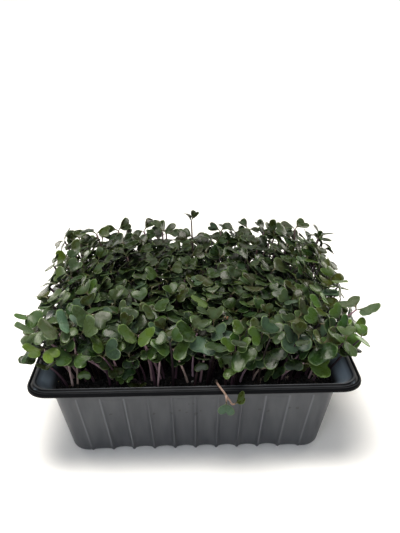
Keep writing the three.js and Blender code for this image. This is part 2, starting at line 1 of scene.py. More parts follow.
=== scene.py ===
"""Looks of a potted stand of red cabbage microgreens: a ribbed grey tray of dark growing
medium, thickly sown with seedlings that each carry two notched seed leaves.

Lengths are worked out in millimetres in the part's frame and turned to metres when a mesh is
made. The solids' own seedlings are sown again by the rule and the seed that placed them, so
that each finer one stands where its solid does, and more are sown between them.
"""
import itertools
import logging
import math
from dataclasses import dataclass, field
from enum import Enum
from typing import Optional, Sequence

import bpy
import numpy as np
from mathutils import Matrix


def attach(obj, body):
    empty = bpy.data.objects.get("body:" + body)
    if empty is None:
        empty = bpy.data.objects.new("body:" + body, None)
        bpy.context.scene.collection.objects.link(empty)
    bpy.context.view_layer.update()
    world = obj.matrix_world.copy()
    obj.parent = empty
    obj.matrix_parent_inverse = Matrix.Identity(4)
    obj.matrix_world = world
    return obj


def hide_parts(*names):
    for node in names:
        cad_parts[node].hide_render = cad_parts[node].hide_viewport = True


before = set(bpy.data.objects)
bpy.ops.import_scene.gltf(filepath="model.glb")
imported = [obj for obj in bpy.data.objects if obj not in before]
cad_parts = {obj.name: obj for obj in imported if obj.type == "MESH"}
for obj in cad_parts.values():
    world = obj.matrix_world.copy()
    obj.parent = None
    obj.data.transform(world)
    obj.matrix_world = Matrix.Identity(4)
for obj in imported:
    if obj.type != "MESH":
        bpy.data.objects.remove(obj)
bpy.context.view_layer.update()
MM = 0.001

logging.basicConfig(level=logging.INFO, format="%(message)s")
LOG = logging.getLogger("microgreens")

Array = np.ndarray
Span = tuple[float, float]
Spot = tuple[float, float, float]


# Colours and nodes


def linear(code: str) -> tuple[float, float, float, float]:
    """Turns an sRGB hex value to linear light.

    Args:
        code: six hex digits after a hash, such as "#4d5256".

    Returns:
        Red, green, blue and an alpha of 1.
    """
    shares = [int(code[i : i + 2], 16) / 255 for i in (1, 3, 5)]
    red, green, blue = (s / 12.92 if s <= 0.04045 else ((s + 0.055) / 1.055) ** 2.4 for s in shares)
    return red, green, blue, 1.0


def tint_of(code: str) -> Array:
    """The linear red, green and blue of an sRGB hex value."""
    return np.array(linear(code)[:3])


def fill_inputs(tree: bpy.types.NodeTree, node: bpy.types.Node, inputs: dict) -> None:
    """Sets or links a node's inputs.

    Args:
        tree: the node tree.
        node: the node.
        inputs: by name or number, a value, an output socket, or a node, for its first output.
    """
    for name, value in inputs.items():
        value = value.outputs[0] if isinstance(value, bpy.types.Node) else value
        if isinstance(value, bpy.types.NodeSocket):
            tree.links.new(value, node.inputs[name])
        else:
            node.inputs[name].default_value = value


def add_node(tree: bpy.types.NodeTree, kind: str, inputs: dict = {}, **settings: object) -> bpy.types.Node:
    """Adds one node, sets its properties, and fills its inputs.

    Args:
        tree: the node tree.
        kind: the node's type name after "ShaderNode", such as "TexNoise".
        inputs: as for fill_inputs.
        settings: the node's own properties.

    Returns:
        The new node.
    """
    made = tree.nodes.new("ShaderNode" + kind)
    for name, value in settings.items():
        setattr(made, name, value)
    fill_inputs(tree, made, inputs)
    return made


def blank_material(name: str, values: dict) -> tuple:
    """Makes a material that holds a Principled shader and its output.

    Args:
        name: the real material's name.
        values: the shader's values that are the same all over.

    Returns:
        The material, its node tree, the shader, and the output for the place on the object.
    """
    material = bpy.data.materials.new(name)
    material.use_nodes = True
    tree = material.node_tree
    tree.nodes.clear()
    shader = add_node(tree, "BsdfPrincipled", values)
    add_node(tree, "OutputMaterial", {"Surface": shader})
    return material, tree, shader, add_node(tree, "TexCoord").outputs["Object"]


@dataclass(frozen=True)
class MouldedPolypropylene:
    """Thermoformed polypropylene sheet, pulled into a mould.

    It gives the eye a mid grey with a soft, slightly blurred sheen, faint upright drag marks
    from the mould, a rim darkened with painted shade, a paler slope inside the rim that is
    painted light, pale lines along the ribs and the rim's crest that are painted highlights,
    and dried specks of dirt.
    """

    wall: str = "#3b3d41"
    # painted shade: the rim's darker tone stands in for the darker reflections on its top
    rim: str = "#090a0d"
    # painted light: the paler tone of the slope inside the rim
    slope_light_tone: str = "#8b99a6"
    dust: str = "#5d5f61"
    # painted highlight: the pale tone of the lines along the ribs and the rim's crest
    glint_tone: str = "#7c7f83"
    dirt: str = "#1d1c1a"
    roughness: float = 0.4
    rim_sheen: float = 0.06
    ior: float = 1.49
    grain_mm: float = 0.9  # the real grain is 0.2 mm, too fine to show: drawn coarser
    mottle_mm: float = 1.3
    drag_mm: float = 7.0

    def material(self) -> bpy.types.Material:
        """Makes the material."""
        made, tree, shader, place = blank_material("thermoformed_polypropylene", {"IOR": self.ior})
        height = add_node(tree, "SeparateXYZ", {0: place}).outputs["Z"]
        # rise runs from 0 on the wall to 1 on the rim; the darker rim colour that it mixes in is painted
        # shade
        rise = add_node(tree, "MapRange", {"Value": height, "From Min": 59.5 * MM, "From Max": 62.5 * MM})
        sheen = add_node(tree, "MapRange", {"Value": rise, "To Min": 0.5, "To Max": self.rim_sheen})
        upright = add_node(tree, "Mapping", {"Vector": place, "Scale": (1.0, 1.0, 0.08)})
        patterns = ((upright, self.drag_mm, 3.0), (place, self.mottle_mm, 4.0), (place, self.grain_mm, 3.0))
        drag, mottle, grain = (
            add_node(tree, "TexNoise", {"Vector": where, "Scale": 1 / (size * MM), "Detail": detail})
            for where, size, detail in patterns
        )
        painted_slope_light, painted_glint, soiled = (
            add_node(tree, "Attribute", attribute_name=name).outputs["Fac"]
            for name in ("painted_slope_light", "painted_glint", "soiled")
        )
        patchy = add_node(tree, "Math", {0: soiled, 1: mottle}, operation="MULTIPLY")
        dusty, dirty = (
            add_node(tree, "MapRange", {"Value": value, "From Min": low, "From Max": high, "To Max": top})
            for value, low, high, top in ((drag, 0.38, 0.75, 0.35), (patchy, 0.22, 0.4, 0.6))
        )
        # the rim's darker tone is painted shade, the inner slope's paler tone is painted light, and the pale
        # lines along the ribs and the crest are painted highlights; the dust and the dirt are the tray's own
        colour = linear(self.wall)
        marks = ((painted_slope_light, self.slope_light_tone), (painted_glint, self.glint_tone), (dirty, self.dirt))
        for share, tone in ((dusty, self.dust), (rise, self.rim), *marks):
            mixed = add_node(tree, "Mix", {0: share, 6: colour, 7: linear(tone)}, data_type="RGBA")
            colour = mixed.outputs[2]
        span = {"From Min": 0.3, "From Max": 0.7}
        ends = {"To Min": self.roughness - 0.07, "To Max": self.roughness + 0.1}
        gloss = add_node(tree, "MapRange", {"Value": drag, **span, **ends})
        bump = add_node(tree, "Bump", {"Strength": 0.25, "Distance": 0.06 * MM, "Height": grain})
        looks = {"Base Color": colour, "Roughness": gloss, "Normal": bump}
        fill_inputs(tree, shader, {**looks, "Specular IOR Level": sheen})
        return made


@dataclass(frozen=True)
class PottingCompost:
    """Milled peat and coir, watered and settled.

    It gives the eye a near-black matt ground of crumbs, with brown fibre and a little pale
    mineral grit.
    """

    wet: str = "#040404"
    dry: str = "#0f0d0c"
    fibre: str = "#2b231b"
    roughness: float = 0.93
    sheen: float = 0.3
    clod_mm: float = 5.0
    crumb_mm: float = 1.6

    def material(self) -> bpy.types.Material:
        """Makes the material."""
        values = {"Roughness": self.roughness, "Specular IOR Level": self.sheen}
        made, tree, shader, place = blank_material("milled_peat_and_coir", values)
        clods = add_node(tree, "TexNoise", {"Vector": place, "Scale": 1 / (self.clod_mm * MM), "Detail": 6.0})
        cells = add_node(tree, "TexVoronoi", {"Vector": place, "Scale": 1 / (self.crumb_mm * MM)})
        crumbs = cells.outputs["Distance"]
        dried, fibrous = (
            add_node(tree, "MapRange", {"Value": value, "From Min": low, "From Max": high, "To Max": top})
            for value, low, high, top in ((clods, 0.45, 0.72, 1.0), (crumbs, 0.62, 0.9, 0.5))
        )
        colour = linear(self.wet)
        for share, tone in ((dried, self.dry), (fibrous, self.fibre)):
            mixed = add_node(tree, "Mix", {0: share, 6: colour, 7: linear(tone)}, data_type="RGBA")
            colour = mixed.outputs[2]
        relief = add_node(tree, "Math", {0: clods, 1: crumbs}, operation="SUBTRACT")
        bump = add_node(tree, "Bump", {"Strength": 0.9, "Distance": 0.9 * MM, "Height": relief})
        fill_inputs(tree, shader, {"Base Color": colour, "Normal": bump})
        return made


@dataclass(frozen=True)
class MineralGrit:
    """Perlite and bark chips mixed into the medium, and the shed seed coats.

    It gives the eye small tan, grey and brown flecks, each crumb in its own tint.
    """

    roughness: float = 0.8

    def material(self) -> bpy.types.Material:
        """Makes the material."""
        made, tree, shader, place = blank_material("bark_and_perlite_grit", {"Roughness": self.roughness})
        tint = add_node(tree, "Attribute", attribute_name="tint").outputs["Color"]
        mottle = add_node(tree, "TexNoise", {"Vector": place, "Scale": 1 / (0.8 * MM)})
        shade = add_node(
            tree, "MapRange",
            {"Value": mottle, "From Min": 0.3, "From Max": 0.7, "To Min": 0.6, "To Max": 1.25}
        )
        colour = add_node(
            tree, "Mix", {0: 1.0, 6: tint, 7: shade}, data_type="RGBA", blend_type="MULTIPLY"
        ).outputs[2]
        fill_inputs(tree, shader, {"Base Color": colour})
        return made


@dataclass(frozen=True)
class WaxyCotyledon:
    """The seed leaf's skin, green under a grey-blue bloom of wax that the plant lays down.

    It gives the eye a soft satin gloss, a blue-grey cast in patches on the upper face, a duller
    and browner under face, a paler rim, and a faint fan of veins.
    """

    bloom: str = "#3d5442"
    rim: str = "#6f8652"
    under: str = "#373b2b"
    vein: str = "#3c5129"
    heart: str = "#121c08"
    roughness: float = 0.25
    ior: float = 1.4
    sheen: float = 0.36
    bloom_mm: float = 5.0
    skin_mm: float = 2.2  # real skin cells are 0.05 mm: drawn as the leaf's slight quilting

    def material(self) -> bpy.types.Material:
        """Makes the material."""
        values = {"IOR": self.ior, "Specular IOR Level": self.sheen}
        made, tree, shader, place = blank_material("waxy_seed_leaf_skin", values)
        tint = add_node(tree, "Attribute", attribute_name="tint").outputs["Color"]
        spot = add_node(tree, "Attribute", attribute_name="place").outputs["Vector"]
        along, across, side = add_node(tree, "SeparateXYZ", {0: spot}).outputs
        patch, quilt = (
            add_node(tree, "TexNoise", {"Vector": place, "Scale": 1 / (size * MM), "Detail": detail})
            for size, detail in ((self.bloom_mm, 3.0), (self.skin_mm, 2.0))
        )
        out = add_node(tree, "Math", {0: across}, operation="ABSOLUTE")
        fan = add_node(tree, "Math", {0: along, 1: 34.0, 2: 0.0}, operation="MULTIPLY_ADD")
        lean = add_node(tree, "Math", {0: out, 1: -11.0, 2: fan}, operation="MULTIPLY_ADD")
        wave = add_node(tree, "Math", {0: lean}, operation="SINE")
        spans = (
            (patch, 0.45, 0.72, 0.36), (along, 0.55, 0.2, 0.3), (wave, 0.86, 1.0, 0.3), (out, 0.07, 0.0, 0.5),
            (out, 0.86, 1.0, 0.55)
        )
        bloomed, deep, side_vein, mid_vein, rimmed = (
            add_node(tree, "MapRange", {"Value": value, "From Min": low, "From Max": high, "To Max": top})
            for value, low, high, top in spans
        )
        veins = add_node(tree, "Math", {0: side_vein, 1: mid_vein}, operation="MAXIMUM")
        lower = add_node(tree, "Mix", {0: 0.6, 6: tint, 7: linear(self.under)}, data_type="RGBA").outputs[2]
        colour = tint
        for share, tone in ((bloomed, self.bloom), (deep, self.heart)):
            mixed = add_node(tree, "Mix", {0: share, 6: colour, 7: linear(tone)}, data_type="RGBA")
            colour = mixed.outputs[2]
        colour = add_node(tree, "Mix", {0: side, 6: lower, 7: colour}, data_type="RGBA").outputs[2]
        for share, tone in ((veins, self.vein), (rimmed, self.rim)):
            mixed = add_node(tree, "Mix", {0: share, 6: colour, 7: linear(tone)}, data_type="RGBA")
            colour = mixed.outputs[2]
        span = {"From Min": 0.35, "From Max": 0.7}
        ends = {"To Min": self.roughness - 0.05, "To Max": self.roughness + 0.16}
        gloss = add_node(tree, "MapRange", {"Value": patch, **span, **ends})
        relief = add_node(tree, "Math", {0: veins, 1: -0.8, 2: quilt}, operation="MULTIPLY_ADD")
        bump = add_node(tree, "Bump", {"Strength": 0.35, "Distance": 0.22 * MM, "Height": relief})
        fill_inputs(tree, shader, {"Base Color": colour, "Roughness": gloss, "Normal": bump})
        return made


@dataclass(frozen=True)
class JuicyStem:
    """The seedling's stem, a soft watery stalk stained by the same purple as the cabbage.

    It gives the eye a smooth, slightly wet gloss, and pink to purple streaks along its length.
    """

    roughness: float = 0.34
    ior: float = 1.4
    streak_mm: float = 0.7

    def material(self) -> bpy.types.Material:
        """Makes the material."""
        made, tree, shader, place = blank_material(
            "watery_seedling_stem", {"IOR": self.ior, "Roughness": self.roughness}
        )
        tint = add_node(tree, "Attribute", attribute_name="tint").outputs["Color"]
        stretched = add_node(tree, "Mapping", {"Vector": place, "Scale": (1.0, 1.0, 0.12)})
        streak = add_node(
            tree, "TexNoise", {"Vector": stretched, "Scale": 1 / (self.streak_mm * MM), "Detail": 3.0}
        )
        shade = add_node(
            tree, "MapRange",
            {"Value": streak, "From Min": 0.3, "From Max": 0.7, "To Min": 0.7, "To Max": 1.25}
        )
        colour = add_node(
            tree, "Mix", {0: 1.0, 6: tint, 7: shade}, data_type="RGBA", blend_type="MULTIPLY"
        ).outputs[2]
        fill_inputs(tree, shader, {"Base Color": colour})
        return made


@dataclass(frozen=True)
class PaintedBoard:
    """Matt white painted board, the studio's floor, lit from below away from the object."""

    paint: str = "#f8f8f7"
    roughness: float = 0.7
    lit_from_m: float = 0.7
    lit_to_m: float = 1.9

    def material(self) -> bpy.types.Material:
        """Makes the material."""
        paint = {"Base Color": linear(self.paint), "Emission Color": linear(self.paint)}
        values = {**paint, "Roughness": self.roughness}
        made, tree, shader, place = blank_material("matt_white_paint", values)
        away = add_node(tree, "VectorMath", {0: place}, operation="LENGTH").outputs["Value"]
        glow = add_node(
            tree, "MapRange",
            {"Value": away, "From Min": self.lit_from_m, "From Max": self.lit_to_m, "To Max": 0.9}
        )
        fill_inputs(tree, shader, {"Emission Strength": glow})
        return made


# Meshes


class Finish(Enum):
    """The finishes that a mesh's faces choose from."""

    TRAY = "tray"
    COMPOST = "compost"
    GRIT = "grit"
    LEAF = "leaf"
    STEM = "stem"


Looks = dict[Finish, bpy.types.Material]


def add_object(
    name: str, data: bpy.types.ID, axes: Optional[Sequence[Array]] = None, at: Sequence[float] = (0, 0, 0)
) -> bpy.types.Object:
    """Makes an object in the scene.

    Args:
        name: its name.
        data: its mesh, light or camera.
        axes: its own three axes, or None where it stays unturned at the origin.
        at: its place in metres.

    Returns:
        The object.
    """
    made = bpy.data.objects.new(name, data)
    bpy.context.scene.collection.objects.link(made)
    if axes is not None:
        placing = np.eye(4)
        placing[:3, :3] = np.column_stack(axes)
        placing[:3, 3] = at
        made.matrix_world = Matrix(placing.tolist())
    return made


class MeshDraft:
    """Points and faces of one mesh, in millimetres, gathered before it is made."""

    def __init__(self, name: str) -> None:
        """Starts an empty draft.

        Args:
            name: the piece's name.
        """
        self.name = name
        self.points: list[Array] = []
        self.places: list[Array] = []
        self.tints: list[Array] = []
        self.faces: list[Array] = []
        self.finishes: list[Finish] = []
        self.count = 0

    def add(
        self, points: Array, faces: Sequence[Array], finish: Finish, place: Optional[Array] = None,
        tint: Optional[Array] = None
    ) -> None:
        """Adds one body.

        Args:
            points: its points, one to a row.
            faces: its faces as arrays of point numbers, one array for each number of corners.
            finish: the finish of all its faces.
            place: three numbers for each point that its material reads.
            tint: one colour, or one for each point.
        """
        total = len(points)
        self.points.append(points)
        self.places.append(np.zeros((total, 3)) if place is None else place)
        tint = np.ones(3) if tint is None else np.asarray(tint)[..., :3]
        self.tints.append(np.broadcast_to(tint, (total, 3)))
        for block in faces:
            self.faces.append(np.asarray(block) + self.count)
            self.finishes.append(finish)
        self.count += total

    def build(self, materials: Looks) -> bpy.types.Object:
        """Makes the mesh and its object.

        Args:
            materials: the material of each finish.

        Returns:
            The object, in the scene, in metres.
        """
        mesh = bpy.data.meshes.new(self.name)
        used = list(dict.fromkeys(self.finishes))
        for finish in used:
            mesh.materials.append(materials[finish])
        points = np.vstack(self.points) * MM
        corners = np.concatenate([block.ravel() for block in self.faces])
        sizes = np.concatenate([np.full(len(b), b.shape[1]) for b in self.faces])
        slots = np.concatenate([np.full(len(b), used.index(f)) for b, f in zip(self.faces, self.finishes)])
        mesh.vertices.add(len(points))
        mesh.vertices.foreach_set("co", points.astype(np.float32).ravel())
        mesh.loops.add(len(corners))
        mesh.loops.foreach_set("vertex_index", corners.astype(np.int32))
        mesh.polygons.add(len(sizes))
        starts = np.concatenate([[0], np.cumsum(sizes)[:-1]])
        mesh.polygons.foreach_set("loop_start", starts.astype(np.int32))
        mesh.polygons.foreach_set("material_index", slots.astype(np.int32))
        mesh.polygons.foreach_set("use_smooth", np.ones(len(sizes), dtype=bool))
        mesh.update(calc_edges=True)
        place = mesh.attributes.new("place", "FLOAT_VECTOR", "POINT")
        place.data.foreach_set("vector", np.vstack(self.places).astype(np.float32).ravel())
        tint = mesh.color_attributes.new("tint", "FLOAT_COLOR", "POINT")
        colours = np.hstack([np.vstack(self.tints), np.ones((len(points), 1))])
        tint.data.foreach_set("color", colours.astype(np.float32).ravel())
        triangles = int((sizes - 2).sum())
        LOG.info("%s: %d points, %d triangles", self.name, len(points), triangles)
        return add_object(self.name, mesh)


def closed_faces(rings: int, count: int) -> list[Array]:
    """Faces of a closed body of rings, with a middle point for each end after all the rings.

    Args:
        rings: how many rings.
        count: points to a ring.

    Returns:
        The quads between the rings, and the triangles of the first end and of the last.
    """
    here = np.arange(count)
    there = np.roll(here, -1)
    low = np.arange(rings - 1)[:, None] * count
    quads = np.stack([low + here, low + there, low + count + there, low + count + here], axis=-1)
    middle, last = np.full(count, rings * count), (rings - 1) * count
    first_end = np.stack([there, here, middle], axis=-1)
    last_end = np.stack([here + last, there + last, middle + 1], axis=-1)
    return [quads.reshape(-1, 4), first_end, last_end]


def mix(a: Array, b: Array, share: float) -> Array:
    """The value that share of the way from a to b."""
    return a + (b - a) * share


def section_at(section: Sequence[Span], z: Array) -> Array:
    """A section's inset at some heights, by straight lines between its points.

    Args:
        section: points as (inset, height), from low to high.
        z: the heights.

    Returns:
        The inset at each height.
    """
    insets, heights = zip(*section)
    return np.interp(z, heights, insets)


def smooth_path(points: Array, steps: Array) -> Array:
    """A smooth curve through some points.

    Args:
        points: the points, one to a row.
        steps: the places wanted on it, from 0 at its start to 1 at its end.

    Returns:
        The curve's points.
    """
    whole = np.vstack([2 * points[0] - points[1], points, 2 * points[-1] - points[-2]])
    spans = steps * (len(points) - 1)
    first = np.minimum(spans.astype(int), len(points) - 2)
    t = (spans - first)[:, None]
    a, b, c, d = (whole[first + k] for k in range(4))
    return 0.5 * (2 * b + (c - a) * t + (2 * a - 5 * b + 4 * c - d) * t**2 + (3 * b - a - 3 * c + d) * t**3)


# Tray


@dataclass
class Tray:
    """The seed tray: one sheet pulled into fluted walls and a rolled rim."""

    width: float = 230.0
    depth: float = 170.0
    height: float = 67.0
    rim_corner: float = 15.0
    body_corner: float = 12.0
    base_fillet: float = 4.0
    wall_inset: float = 11.9
    wall_lean: float = 0.19
    flute_top: float = 52.0
    flute_depth: float = 3.0
    flute_start_depth: float = 0.7
    end_flute_share: float = 0.4
    rib_width: float = 1.6
    rib_pitch_top: float = 16.65
    rib_pitch_base: float = 15.1
    ribs: tuple[int, int] = (3, 5)
    rib_proud: float = 0.45
    # painted highlights along the rim's crest, the bead and the ribs, fainter on the middle ribs
    crest_glint: float = 0.5
    bead_glint: float = 0.22
    bead_height: float = 65.8
    rib_glint: float = 0.3
    middle_ribs: int = 2
    middle_glint_share: float = 0.25
    glint_from: float = 5.0
    slope_levels: tuple[float, float, float, float] = (56.0, 59.5, 65.0, 66.7)
    slope_edge: tuple[Span, ...] = ((14.6, 56.0), (11.5, 59.0), (7.0, 64.7), (4.9, 67.0))
    front_band: float = 30.0
    dirt_reach: float = 1.35
    wall_levels: tuple[float, ...] = (
        *np.linspace(6.5, 30.5, 8), *np.linspace(32, 48, 17), 49.5, 50.7, 51.4, 52.0, 52.6, 54.0, 55.8
    )
    flute_points: int = 11
    flute_flat: float = 0.4
    arc_steps: int = 12
    rim_section: tuple[Span, ...] = (
        (13.4, 56.8), (12.0, 58.0), (10.8, 59.0), (8.9, 61.3), (7.2, 63.0), (5.6, 64.7), (4.4, 65.2),
        (3.2, 64.5), (1.7, 64.2), (1.2, 63.8), (1.1, 62.9), (0.7, 62.65), (0.2, 62.75), (0.0, 63.2),
        (0.0, 64.8), (0.1, 65.35), (0.45, 65.72), (0.9, 65.8), (1.35, 65.6), (1.85, 65.35), (2.3, 65.4),
        (2.8, 65.85), (3.3, 66.45), (3.8, 66.85), (4.4, 67.0), (4.95, 66.95), (5.5, 66.6), (6.4, 65.75),
        (8.3, 63.9), (10.2, 62.05), (11.4, 60.6), (12.4, 59.4), (13.5, 58.3), (14.6, 56.8), (15.3, 55.5)
    )
    inside_section: tuple[Span, ...] = (
        (31.5, 1.5), (29.2, 2.6), (28.0, 5.5), (17.8, 47.5), (16.9, 50.5), (16.0, 53.5), (15.2, 55.6),
        (14.2, 57.6), (12.4, 59.4), (10.2, 62.0), (5.2, 66.8), (4.8, 68.0)
    )
    dirt_spots: tuple[Spot, ...] = (
        (-60.0, 36.0, 1.3), (-29.5, 36.0, 1.6), (-17.0, 37.0, 1.5), (-11.0, 38.5, 1.4), (-6.0, 36.5, 1.2),
        (0.5, 36.0, 1.8), (4.0, 38.0, 1.2), (46.0, 38.0, 1.7), (52.0, 36.5, 1.6), (67.0, 39.5, 1.4),
        (72.5, 39.0, 1.6), (-4.5, 44.5, 1.1), (-1.0, 45.5, 1.1)
    )

    def corner(self, inset: float) -> float:
        """The corner's radius at an inset."""
        return max(self.rim_corner - inset * 0.7, self.body_corner)

    def outline(self, inset: float, radius: float, z: float, fluting: Optional[float] = None) -> Array:
        """One ring of the tray.

        Args:
            inset: how far it lies inside the rim's outline.
            radius: its corners' radius.
            z: its height.
            fluting: the flutes' depth, or None where the wall is plain.

        Returns:
            Its points, counter-clockwise from above.
        """
        halves = (self.width / 2 - inset, self.depth / 2 - inset)
        points = []
        for side in range(4):
            out = np.array([math.cos(side * math.pi / 2), math.sin(side * math.pi / 2)])
            along = np.array([-out[1], out[0]])
            reach, run = halves if side % 2 == 0 else halves[::-1]
            ribs = self.ribs[side % 2]
            for place, depth in self.side_steps(ribs, run - radius, z, fluting):
                points.append(out * (reach - depth) + along * place)
            centre = out * (reach - radius) + along * (run - radius)
            for step in range(self.arc_steps + 1):
                angle = step / self.arc_steps * math.pi / 2
                points.append(centre + radius * (out * math.cos(angle) + along * math.sin(angle)))
        flat = np.array(points)
        return np.column_stack([flat, np.full(len(flat), z)])

    def side_steps(self, ribs: int, straight: float, z: float, fluting: Optional[float]) -> list[Span]:
        """The points along one straight side.

        Args:
            ribs: how many ribs stand on each side of the middle one.
            straight: half the straight run's length.
            z: the ring's height.
            fluting: the flutes' depth, or None for a plain side.

        Returns:
            Each point's place along the side and its depth into it.
        """
        pitch = mix(self.rib_pitch_base, self.rib_pitch_top, z / self.flute_top)
        if fluting is None:
            pitch = (straight - 2) / ribs
            fluting = 0.0
        proud = self.rib_proud * min(fluting / self.flute_start_depth, 1.0)
        half = self.rib_width / 2
        steps = []
        for k in range(-ribs, ribs + 1):
            for place, rise in ((-half, 0.0), (-half * 0.5, 1.0), (half * 0.5, 1.0), (half, 0.0)):
                steps.append((k * pitch + place, -proud * rise))
            if k == ribs:
                continue
            share = self.end_flute_share if k in (-ribs, ribs - 1) else 1.0
            for step in range(self.flute_points):
                s = (step + 0.5) / self.flute_points
                place = k * pitch + half + s * (pitch - 2 * half)
                steps.append((place, fluting * share * math.sin(math.pi * s) ** self.flute_flat))
        return steps

    def wall_rings(self) -> list[Array]:
        """The outer wall's rings, from the base up to the rim's underside."""
        turns = [math.pi / 2 * step / 5 for step in range(6)]
        heights = [self.base_fillet * (1 - math.cos(turn)) for turn in turns]
        rings = []
        for z in (*heights, *self.wall_levels):
            turn = math.acos(1 - z / self.base_fillet) if z < self.base_fillet else math.pi / 2
            tuck = self.base_fillet * (1 - math.sin(turn))
            inset = self.wall_inset + self.wall_lean * (self.height - z) + tuck
            ramp = (self.flute_top - z) / self.flute_top
            depth = mix(self.flute_start_depth, self.flute_depth, ramp)
            fade = min(max((self.flute_top - z) / 3, 0.0), 1.0)
            rings.append(self.outline(inset, self.body_corner - tuck, z, depth * fade))
        return rings

    def soiled(self, points: Array) -> Array:
        """How dirty each point of the tray is, from 0 to 1.

        Args:
            points: the tray's points.

        Returns:
            One number for each point.
        """
        dirt = np.zeros(len(points))
        front = points[:, 1] < self.front_band - self.depth / 2
        for x, z, radius in self.dirt_spots:
            far = np.hypot(points[:, 0] - x, points[:, 2] - z)
            dirt = np.maximum(dirt, np.where(front, np.clip(self.dirt_reach - far / radius, 0, 1), 0))
        return dirt

    def painted_slope_light(self, points: Array) -> Array:
        """How much painted light each point of the tray takes on the slope inside its rim.

        Args:
            points: the tray's points.

        Returns:
            One number from 0 to 1 for each point.
        """
        inset = np.minimum(self.width / 2 - abs(points[:, 0]), self.depth / 2 - abs(points[:, 1]))
        share = np.interp(points[:, 2], self.slope_levels, (0.0, 1.0, 1.0, 0.0))
        outer = section_at(self.slope_edge, points[:, 2])
        return np.where(inset > outer, share, 0.0)

    def painted_glint(self, points: Array, rings: list[Array]) -> Array:
        """How much painted highlight each point of the tray takes, from 0 to 1, along its ribs and its rim's
        crest.

        Args:
            points: the tray's points.
            rings: the rings that they were gathered from.

        Returns:
            One number for each point.
        """
        glinting = np.zeros(len(points))
        height = points[:, 2]
        glinting[np.abs(height - self.height) < 0.1] = self.crest_glint
        glinting[np.abs(height - self.bead_height) < 0.05] = self.bead_glint
        columns = np.arange(len(self.wall_rings())) * len(rings[0])
        start = 0
        for side in range(4):
            ribs = self.ribs[side % 2]
            for k in range(-ribs, ribs + 1):
                glint = self.rib_glint * (1.0 if abs(k) > self.middle_ribs else self.middle_glint_share)
                for step in (1, 2):
                    column = columns + start + (k + ribs) * (4 + self.flute_points) + step
                    upright = (height[column] > self.glint_from) & (height[column] < self.flute_top)
                    glinting[column[upright]] = glint
            start += (2 * ribs + 1) * 4 + 2 * ribs * self.flute_points + self.arc_steps + 1
        return glinting

    def build(self, materials: Looks) -> bpy.types.Object:
        """Makes the tray as one closed body.

        Args:
            materials: the material of each finish.

        Returns:
            The tray.
        """
        rings = self.wall_rings()
        rings += [self.outline(inset, self.corner(inset), z) for inset, z in self.rim_section]
        for inset, z in reversed(self.inside_section[:6]):
            rings.append(self.outline(inset, self.corner(inset), z))
        points = np.vstack([*rings, [[0, 0, 0]], [[0, 0, self.inside_section[0][1]]]])
        draft = MeshDraft("ribbed_tray")
        draft.add(points, closed_faces(len(rings), len(rings[0])), Finish.TRAY)
        made = draft.build(materials)
        marks = (
            ("soiled", self.soiled(points)), ("painted_glint", self.painted_glint(points, rings)),
            ("painted_slope_light", self.painted_slope_light(points))
        )
        for name, values in marks:
            layer = made.data.attributes.new(name, "FLOAT", "POINT")
            layer.data.foreach_set("value", values.astype(np.float32))
        return made


# Growing medium


